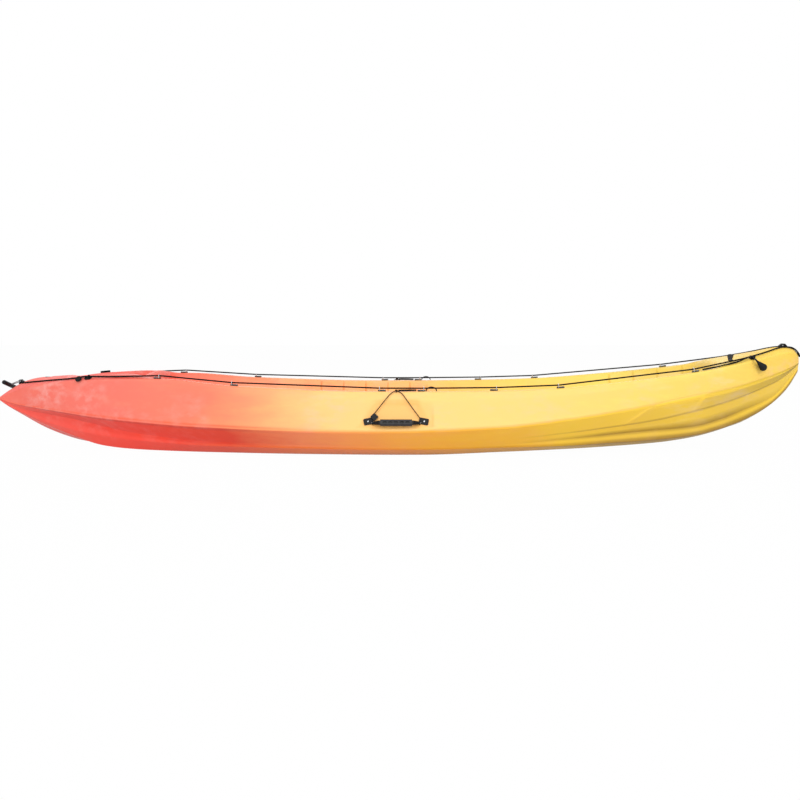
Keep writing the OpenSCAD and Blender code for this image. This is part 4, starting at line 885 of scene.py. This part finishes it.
# Cords: routes in millimetres on the starboard side
GUIDES = [(-1063, 1), (-709, -1), (-68, -1), (101, 1), (410, 1), (697, -1), (1314, -1)]
GUIDE_HEIGHT = 5.5
LOOP_END = 10
LINE_RISE = 7
LINE_DIAMETER = 6.5
LINE_LIFT = 4.5
STERN_INSET = 16
BOW_INSET = 36
TIP_SHARE = 0.35
CLEAT_X = -1400
CLEAT_LENGTH = 36
CLEAT_LIFT = 4.3
STERN_LINE = [-1736, -1700, -1660, -1610, -1560, -1500, -1458, -1424, -1390, -1300, -1230]
BOW_LINE = [1560, 1610, 1660, 1705, 1740, 1770, 1785, 1800]
STEM_LINE = [(1832, -18, 462), (1856, -13, 450), (1872, -11, 431), (1880, -6, 421), (1882, 0, 418)]
STEM_DIAMETER = 7
LINE_START = (-1766, -13.8, 6.5)


def line_on_deck(x):
    half = gunwale_y(x)
    y = -max(half - (STERN_INSET if x < 0 else BOW_INSET), half * TIP_SHARE)
    lift = CLEAT_LIFT if abs(x - CLEAT_X) < CLEAT_LENGTH else 0
    return Vector((x, y, deck_z(x, y) + LINE_LIFT + lift))


def deck_line_route():
    guided = [guide_frame(x) @ Vector((way * LOOP_END, 0, GUIDE_HEIGHT + LINE_RISE)) for x, way in GUIDES]
    ends = [[line_on_deck(x) for x in row] for row in (STERN_LINE, BOW_LINE)]
    x, y, rise = LINE_START
    start = [Vector((x, y, deck_z(x, y) + rise))]
    return start + ends[0] + guided + ends[1] + [Vector(p) for p in STEM_LINE]


def line_size(point):
    """Diameter of the deck line, which is sleeved round the stem."""
    past = (point.x - BOW_LINE[-1]) / (STEM_LINE[0][0] - BOW_LINE[-1])
    return mix(LINE_DIAMETER, STEM_DIAMETER, min(1, max(0, past)))


HANDLE_HEIGHT = 158
GUNWALE_HEIGHT = 283
BUNGEE_DIAMETER = 4
# Bungee: distance forward of the handle's middle, share of the height from handle to gunwale, standoff
BUNGEE_PLAN = [
    (-90, 0.2875, 0.7), (-60, 0.59, 6.2), (-40, 0.79, 7.2), (-28, 0.9, 6.8), (-14, 0.99, 5.4), (1, 1.03, 4),
    (15, 0.99, 5.4), (27, 0.92, 6.8), (40, 0.78, 7.6), (62, 0.53, 5), (101, 0.115, 0.4)]
KNOT_POINT = 5
KNOT_SIZE = 1.7
KNOT_STEPS = 60


def side_y(z):
    share = (z - along(CHINE_LINE, 0)) / (along(GUNWALE_LINE, 0) - along(CHINE_LINE, 0))
    return mix(along(CHINE_HALF, 0), along(GUNWALE_HALF, 0), share)


def bungee_route():
    heights = [mix(HANDLE_HEIGHT, GUNWALE_HEIGHT, share) for _, share, _ in BUNGEE_PLAN]
    return [Vector((HANDLE_X + x, -side_y(z) - off, z)) for (x, _, off), z in zip(BUNGEE_PLAN, heights)]


def knot_route(middle):
    """An overhand knot round a point."""
    route = []
    for k in range(KNOT_STEPS):
        t = 2 * pi * k / KNOT_STEPS
        x, z = sin(t) + 2 * sin(2 * t), cos(t) - 2 * cos(2 * t)
        route.append(middle + KNOT_SIZE * Vector((x, -sin(3 * t), z)))
    return route


# Keeper and bow toggle cords: distance forward, inset from the gunwale, rise over the deck
KEEPER_PLAN = [(2, 5, 4.5), (79, 17, 4.5)]
BOW_CORD_PLAN = [
    (1346, 13, 5.2), (1380, 13, 5.2), (1415, 13, 5.2), (1450, 13, 5.2), (1485, 13, 5.2), (1520, 13, 6.2),
    (1555, 15, 9.2), (1591, 19, 14.2)]
STRAND_DIAMETER = 4
STRAND_LEAN = radians(55)
STRAND_SWAY = radians(25)
STRAND_WAVE = 140


def rim_route(plan):
    """A route along the starboard rim."""
    spots = [(x, inset - gunwale_y(x), rise) for x, inset, rise in plan]
    return [Vector((x, y, deck_z(x, y) + rise)) for x, y, rise in spots]


# Sweeping cords along routes
ROUTE_STEP = 7
FINE_STEP = 3
ROUTE_PASSES = 3


def length_of(points):
    return sum((b - a).length for a, b in zip(points, points[1:]))


def resampled(points, step):
    """Points at an even step along straight spans."""
    count = max(2, round(length_of(points) / step))
    gap = length_of(points) / count
    made, due, past = [points[0].copy()], gap, 0.0
    for a, b in zip(points, points[1:]):
        span = (b - a).length
        while due <= past + span and len(made) < count:
            made.append(a.lerp(b, (due - past) / span))
            due += gap
        past += span
    return made + [points[-1].copy()]


def eased(points, step=ROUTE_STEP, passes=ROUTE_PASSES):
    """A route with its corners rounded, its ends kept."""
    points = resampled(points, step)
    for _ in range(passes):
        middle = [(a + 2 * b + c) / 4 for a, b, c in zip(points, points[1:], points[2:])]
        points = [points[0]] + middle + [points[-1]]
    return points


def ways_along(points, closed=False):
    """Direction of a route at each of its points."""
    before = (points[-1:] if closed else points[:1]) + points[:-1]
    after = points[1:] + (points[:1] if closed else points[-1:])
    return [(b - a).normalized() for a, b in zip(before, after)]


def frames_along(points, closed):
    """A pair of directions across the route at each point, turned no more than the route turns."""
    ways = ways_along(points, closed)
    across = ways[0].orthogonal().normalized()
    pairs = []
    for way in ways:
        across = (across - way * across.dot(way)).normalized()
        pairs.append((across, way.cross(across)))
    return pairs


def tube(name, points, diameter, material, sides=12, closed=False, size_at=None):
    """A round cord through points in millimetres; how far along and around it is kept for its material."""
    count = len(points)
    corners = []
    for point, (a, b) in zip(points, frames_along(points, closed)):
        radius = (size_at(point) if size_at else diameter) / 2
        corners += [point + radius * (a * across + b * up) for across, up in circle(sides)]
    faces = ring_faces(count, sides, closed)
    rows = range(count if closed else count - 1)
    along_values = [i + end for i in rows for _ in range(sides) for end in (0, 0, 1, 1)]
    around_values = [(k + end) / sides for _ in rows for k in range(sides) for end in (0, 1, 1, 0)]
    if not closed:
        faces += end_faces(count, sides)
        along_values += [0] * sides + [count - 1] * sides
        around_values += [0] * (2 * sides)
    step = length_of(points) / (count - 1) * MM
    piece = mesh_piece(name, corners, faces, material)
    for key, values in (("along", [v * step for v in along_values]), ("around", around_values)):
        piece.data.attributes.new(key, "FLOAT", "CORNER").data.foreach_set("value", values)
    return piece


def beside(points, offset):
    """A strand beside a route, half over it, that sways a little along it."""
    up, strand, past = Vector((0, 0, 1)), [], 0.0
    for before, point, way in zip(points[:1] + points, points, ways_along(points)):
        past += (point - before).length
        across = way.cross(up).normalized()
        turn = STRAND_LEAN + STRAND_SWAY * sin(2 * pi * past / STRAND_WAVE)
        strand.append(point + offset * (across * cos(turn) + up * sin(turn)))
    return strand


def mirrored(points, side):
    """Starboard points as they are, or mirrored to port."""
    return [Vector((p.x, p.y * -side, p.z)) for p in points]


def joined(name, pieces):
    """One object from several pieces."""
    with bpy.context.temp_override(active_object=pieces[0], selected_editable_objects=pieces):
        bpy.ops.object.join()
    pieces[0].name = pieces[0].data.name = name
    return pieces[0]


def dress(piece, body, slot, *nodes):
    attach(piece, body)
    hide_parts(*nodes)


def add_strands(name, route, material, node):
    """A cord that is two strands side by side, in place of a node."""
    strands = [tube(f"{name}_{way}", beside(route, way * STRAND_DIAMETER / 2), STRAND_DIAMETER, material)
               for way in (-1, 1)]
    piece = joined(name, strands)
    dress(piece, "hull", "black_cord", node)


def add_side_cords(name, side, cord, bungee):
    """The deck line, the bungee with its knot and the keeper cord of one side."""
    route = eased(mirrored(deck_line_route(), side))
    line = tube(f"deck_cord_{name}", route, LINE_DIAMETER, cord, size_at=line_size)
    dress(line, "hull", "black_cord", f"deck_line_{name}")
    corners = mirrored(bungee_route(), side)
    route = eased(corners, FINE_STEP)
    loop = tube(f"bungee_cord_{name}", route, BUNGEE_DIAMETER, bungee)
    dress(loop, "hull", "bungee_cord", f"paddle_bungee_{name}")
    knot = tube(f"bungee_knot_{name}", knot_route(corners[KNOT_POINT]), BUNGEE_DIAMETER, bungee, closed=True)
    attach(knot, "hull")
    route = eased(mirrored(rim_route(KEEPER_PLAN), side), FINE_STEP)
    add_strands(f"keeper_pair_{name}", route, cord, f"keeper_cord_{name}")


# Stern toggle cord: one cord from the toggle round the pin and back
STERN_PIVOT = Vector((-1770.28, 0, 303.85))
STERN_HANG = radians(19)
STERN_REACH = 49
STRAND_OFFSET = 2.4
PIN_WRAP = 4.9
WRAP_STEPS = 30
WRAP_LEAVES = 9
WRAP_GAP = 1.5
WRAP_PASSES = 4
# Half heights of the doubled cord, at the toggle and where it leaves the pin
STERN_SPREAD = (1, 3)


def add_stern_cord(cord):
    wrap = []
    for k in range(WRAP_STEPS + 1):
        turn = mix(pi / 2, -pi / 2, k / WRAP_STEPS)
        y = mix(-STRAND_OFFSET, STRAND_OFFSET, k / WRAP_STEPS)
        wrap.append(Vector((PIN_WRAP * cos(turn), y, PIN_WRAP * sin(turn))))
    first = [Vector((-STERN_REACH, -STRAND_OFFSET, STERN_SPREAD[0])),
             Vector((-WRAP_LEAVES, -STRAND_OFFSET, STERN_SPREAD[1]))]
    last = [Vector((p.x, -p.y, -p.z)) for p in reversed(first)]
    hang = Matrix.Translation(STERN_PIVOT) @ Matrix.Rotation(-STERN_HANG, 4, "Y")
    route = [hang @ point for point in eased(first + wrap + last, WRAP_GAP, WRAP_PASSES)]
    piece = tube("stern_loop", route, STRAND_DIAMETER, cord)
    dress(piece, "stern_toggle", "grey_cord", "stern_toggle_cord")


# Strap over the bow deck
STRAP_NEAR = Vector((1511, -112))
STRAP_FAR = Vector((1590, 80))
STRAP_WIDTH = 36
STRAP_NEAR_SHARE = 0.5
STRAP_THICK = 2
STRAP_STEPS = 48
# Section of the strap: shares of its half width and of its thickness
STRAP_SECTION = [
    (-1, 0.2), (-1, 0.8), (-0.94, 1), (-0.5, 1.05), (0, 1.05), (0.5, 1.05), (0.94, 1), (1, 0.8), (1, 0.2),
    (0.94, 0), (0, 0), (-0.94, 0)]


def add_bow_strap(webbing):
    """Flat webbing laid slanting over the deck, wider at its far end, with rounded edges."""
    points = []
    for k in range(STRAP_STEPS + 1):
        s = k / STRAP_STEPS
        middle_x, y = STRAP_NEAR.lerp(STRAP_FAR, s)
        half = STRAP_WIDTH / 2 * mix(STRAP_NEAR_SHARE, 1, s)
        for across, up in STRAP_SECTION:
            x = middle_x + across * half
            points.append((x, y, deck_z(x, y) + 2 * SEAT_GAP + up * STRAP_THICK))
    sides = len(STRAP_SECTION)
    faces = ring_faces(STRAP_STEPS + 1, sides) + end_faces(STRAP_STEPS + 1, sides)
    strap = mesh_piece("bow_webbing", points, [face[::-1] for face in faces], webbing)
    dress(strap, "hull", "black_cord", "bow_strap")


# Screws: a rounded head with a cross recess
SCREW_HEAD = [(0, 1.5), (1.4, 1.45), (2.6, 1.15), (3.5, 0.55), (3.9, 0), (3.9, -0.5), (0, -0.5)]
CROSS_ARM = (4.4, 0.9, 1.4)
SCREW_SIDES = 32


SQUARE = ((-1, -1), (1, -1), (1, 1), (-1, 1))


def cut_out(piece, cutter):
    """Takes a cutter's volume out of a piece."""
    taking = piece.modifiers.new("cut", "BOOLEAN")
    taking.operation = "DIFFERENCE"
    taking.solver = "EXACT"
    taking.object = cutter
    apply_modifiers(piece)
    bpy.data.objects.remove(cutter)


def turned(name, profile, sides, material):
    """A piece turned round Z from (radius, height) pairs in millimetres that start and end on the axis."""
    rows = profile[1:-1]
    points = [(radius * x, radius * y, z) for radius, z in rows for x, y in circle(sides)]
    points += [(0, 0, z) for _, z in (profile[0], profile[-1])]
    faces = ring_faces(len(rows), sides) + tip_faces(len(rows), sides)
    return mesh_piece(name, points, [face[::-1] for face in faces], material)


def screw_head(metal):
    head = turned("screw_head", SCREW_HEAD, SCREW_SIDES, metal)
    top, (length, width, depth) = SCREW_HEAD[0][1], CROSS_ARM
    faces = ring_faces(2, len(SQUARE)) + end_faces(2, len(SQUARE))
    for a, b in ((length, width), (width, length)):
        arm = [(x * a / 2, y * b / 2, top + z * depth / 2) for z in (-1, 1) for x, y in SQUARE]
        cut_out(head, mesh_piece("cross_arm", arm, faces, metal))
    return head


def add_screws(name, places, head, node):
    """Copies of a screw head at frames in millimetres, as one piece."""
    copies = []
    for place in places:
        copy = new_object("screw_copy", head.data.copy())
        copy.data.transform(Matrix.Scale(MM, 4) @ place @ Matrix.Scale(1 / MM, 4))
        copies.append(copy)
    dress(joined(name, copies), "hull", "stainless_steel", node)


PLATE_FACE = 5.6
HANDLE_SPAN = 237
PANEL_LEAN = atan(PANEL_SLOPE)


def to_side(side):
    """Takes starboard places to a side."""
    return Matrix.Scale(-1, 4, (0, 1, 0)) if side > 0 else Matrix.Identity(4)


def guide_screw_places(side):
    return [to_side(side) @ guide_frame(x) @ Matrix.Translation((-way * LOOP_END, 0, GUIDE_HEIGHT + SEAT_GAP))
            for x, way in GUIDES]


def handle_screw_places(side):
    middle = Matrix.Translation((HANDLE_X, -recess_face(HANDLE_HEIGHT), HANDLE_HEIGHT))
    handle = to_side(side) @ middle @ Matrix.Rotation(-PANEL_LEAN, 4, "X")
    outwards = Matrix.Rotation(pi / 2, 4, "X")
    return [handle @ Matrix.Translation((end * HANDLE_SPAN / 2, -PLATE_FACE, 0)) @ outwards
            for end in (-1, 1)]


# Stage: a pale floor that keeps a faint shadow, a white surround and large soft lamps
FLOOR_REACH = 20000
FLOOR_WHITE = 0.985
SURROUND_LIGHT = 0.58


def add_floor():
    """A floor that looks white wherever it is seen, directly, in a mirror or through glass."""
    nodes = Nodes("pale_floor")
    grain = nodes.noise(14, 3.0)
    paint = nodes.blend(grain, colour(200, 200, 200), colour(206, 206, 206))
    nodes.finish(paint, 0.9)
    glow = nodes.add("ShaderNodeEmission", {"Color": WHITE, "Strength": 1.0}).outputs[0]
    path = nodes.add("ShaderNodeLightPath").outputs
    seen = nodes.math("MAXIMUM", path["Is Camera Ray"], path["Is Glossy Ray"])
    seen = nodes.math("MAXIMUM", seen, path["Is Transmission Ray"])
    share = nodes.times(seen, FLOOR_WHITE)
    mixed = nodes.add("ShaderNodeMixShader", {0: share, 1: nodes.shader.outputs[0], 2: glow}).outputs[0]
    nodes.fill(nodes.tree.nodes["Material Output"], {"Surface": mixed})
    corners = [(x * FLOOR_REACH, y * FLOOR_REACH, 0) for x, y in SQUARE]
    mesh_piece("floor", corners, [(0, 1, 2, 3)], nodes.block)


def add_world():
    """White behind the object, and an even soft light on it."""
    nodes = Nodes("surround", "worlds")
    bpy.context.scene.world = nodes.block
    nodes.tree.nodes.clear()
    direct = nodes.add("ShaderNodeLightPath").outputs["Is Camera Ray"]
    soft, white = [nodes.add("ShaderNodeBackground", {"Color": WHITE, "Strength": strength}).outputs[0]
                   for strength in (SURROUND_LIGHT, 1.0)]
    mixed = nodes.add("ShaderNodeMixShader", {0: direct, 1: soft, 2: white}).outputs[0]
    nodes.add("ShaderNodeOutputWorld", {"Surface": mixed})


# Lamps: name, place, what it points at, size along and across, power
LAMPS = [
    ("key", (0.3, -3.8, 2.3), (0, 0, 0.2), (8.0, 2.4), 170),
    ("top", (0.3, 0.2, 3.8), (0, 0, 0.2), (7.0, 2.0), 50),
    ("back", (0, 3.6, 2.2), (0, 0, 0.3), (6.0, 1.6), 40)]


def add_lamp(name, place, target, size, power):
    data = bpy.data.lights.new(name, "AREA")
    data.shape = "RECTANGLE"
    data.size, data.size_y = size
    data.energy = power
    lamp = new_object(name, data)
    lamp.location = place
    lamp.rotation_euler = (Vector(target) - Vector(place)).to_track_quat("-Z", "Y").to_euler()


bpy.context.scene.view_settings.view_transform = "Standard"
add_camera()
add_world()
add_floor()
for lamp in LAMPS:
    add_lamp(*lamp)

plastic = hull_plastic()
hull = hull_skin(plastic)
pierce_hull(hull, plastic)
dress(hull, "hull", "hull_polyethylene", "hull_shell")

steel = stainless()
finish_nodes(MOULDED, moulding("black_moulding", (10, 10, 11), (24, 24, 26)))
finish_nodes(BASES, moulding("grey_moulding", (40, 41, 43), (92, 94, 94)))
finish_nodes(METAL, steel)
finish_nodes(SEALS, rubber())
finish_nodes(GRIPS, grip_moulding())

cord = cord_finish("black_braid", (5, 5, 6), (26, 26, 30), strands=4, pitch=0.006)
bungee = cord_finish("bungee_braid", (34, 24, 18), (74, 54, 40), 4, 0.004, fleck=(120, 96, 66))
grey = cord_finish("grey_braid", (118, 118, 120), (176, 176, 178), 4, 0.005)
screw = screw_head(steel)
for name, side in SIDES.items():
    add_side_cords(name, side, cord, bungee)
    add_screws(f"guide_screw_heads_{name}", guide_screw_places(side), screw, f"guide_screws_{name}")
    add_screws(f"handle_screw_heads_{name}", handle_screw_places(side), screw, f"handle_screws_{name}")
bpy.data.objects.remove(screw)
bow_route = eased(rim_route(BOW_CORD_PLAN), FINE_STEP)
add_strands("bow_cord_pair", bow_route, cord, "bow_toggle_cord")
add_stern_cord(grey)
add_bow_strap(strap_webbing())
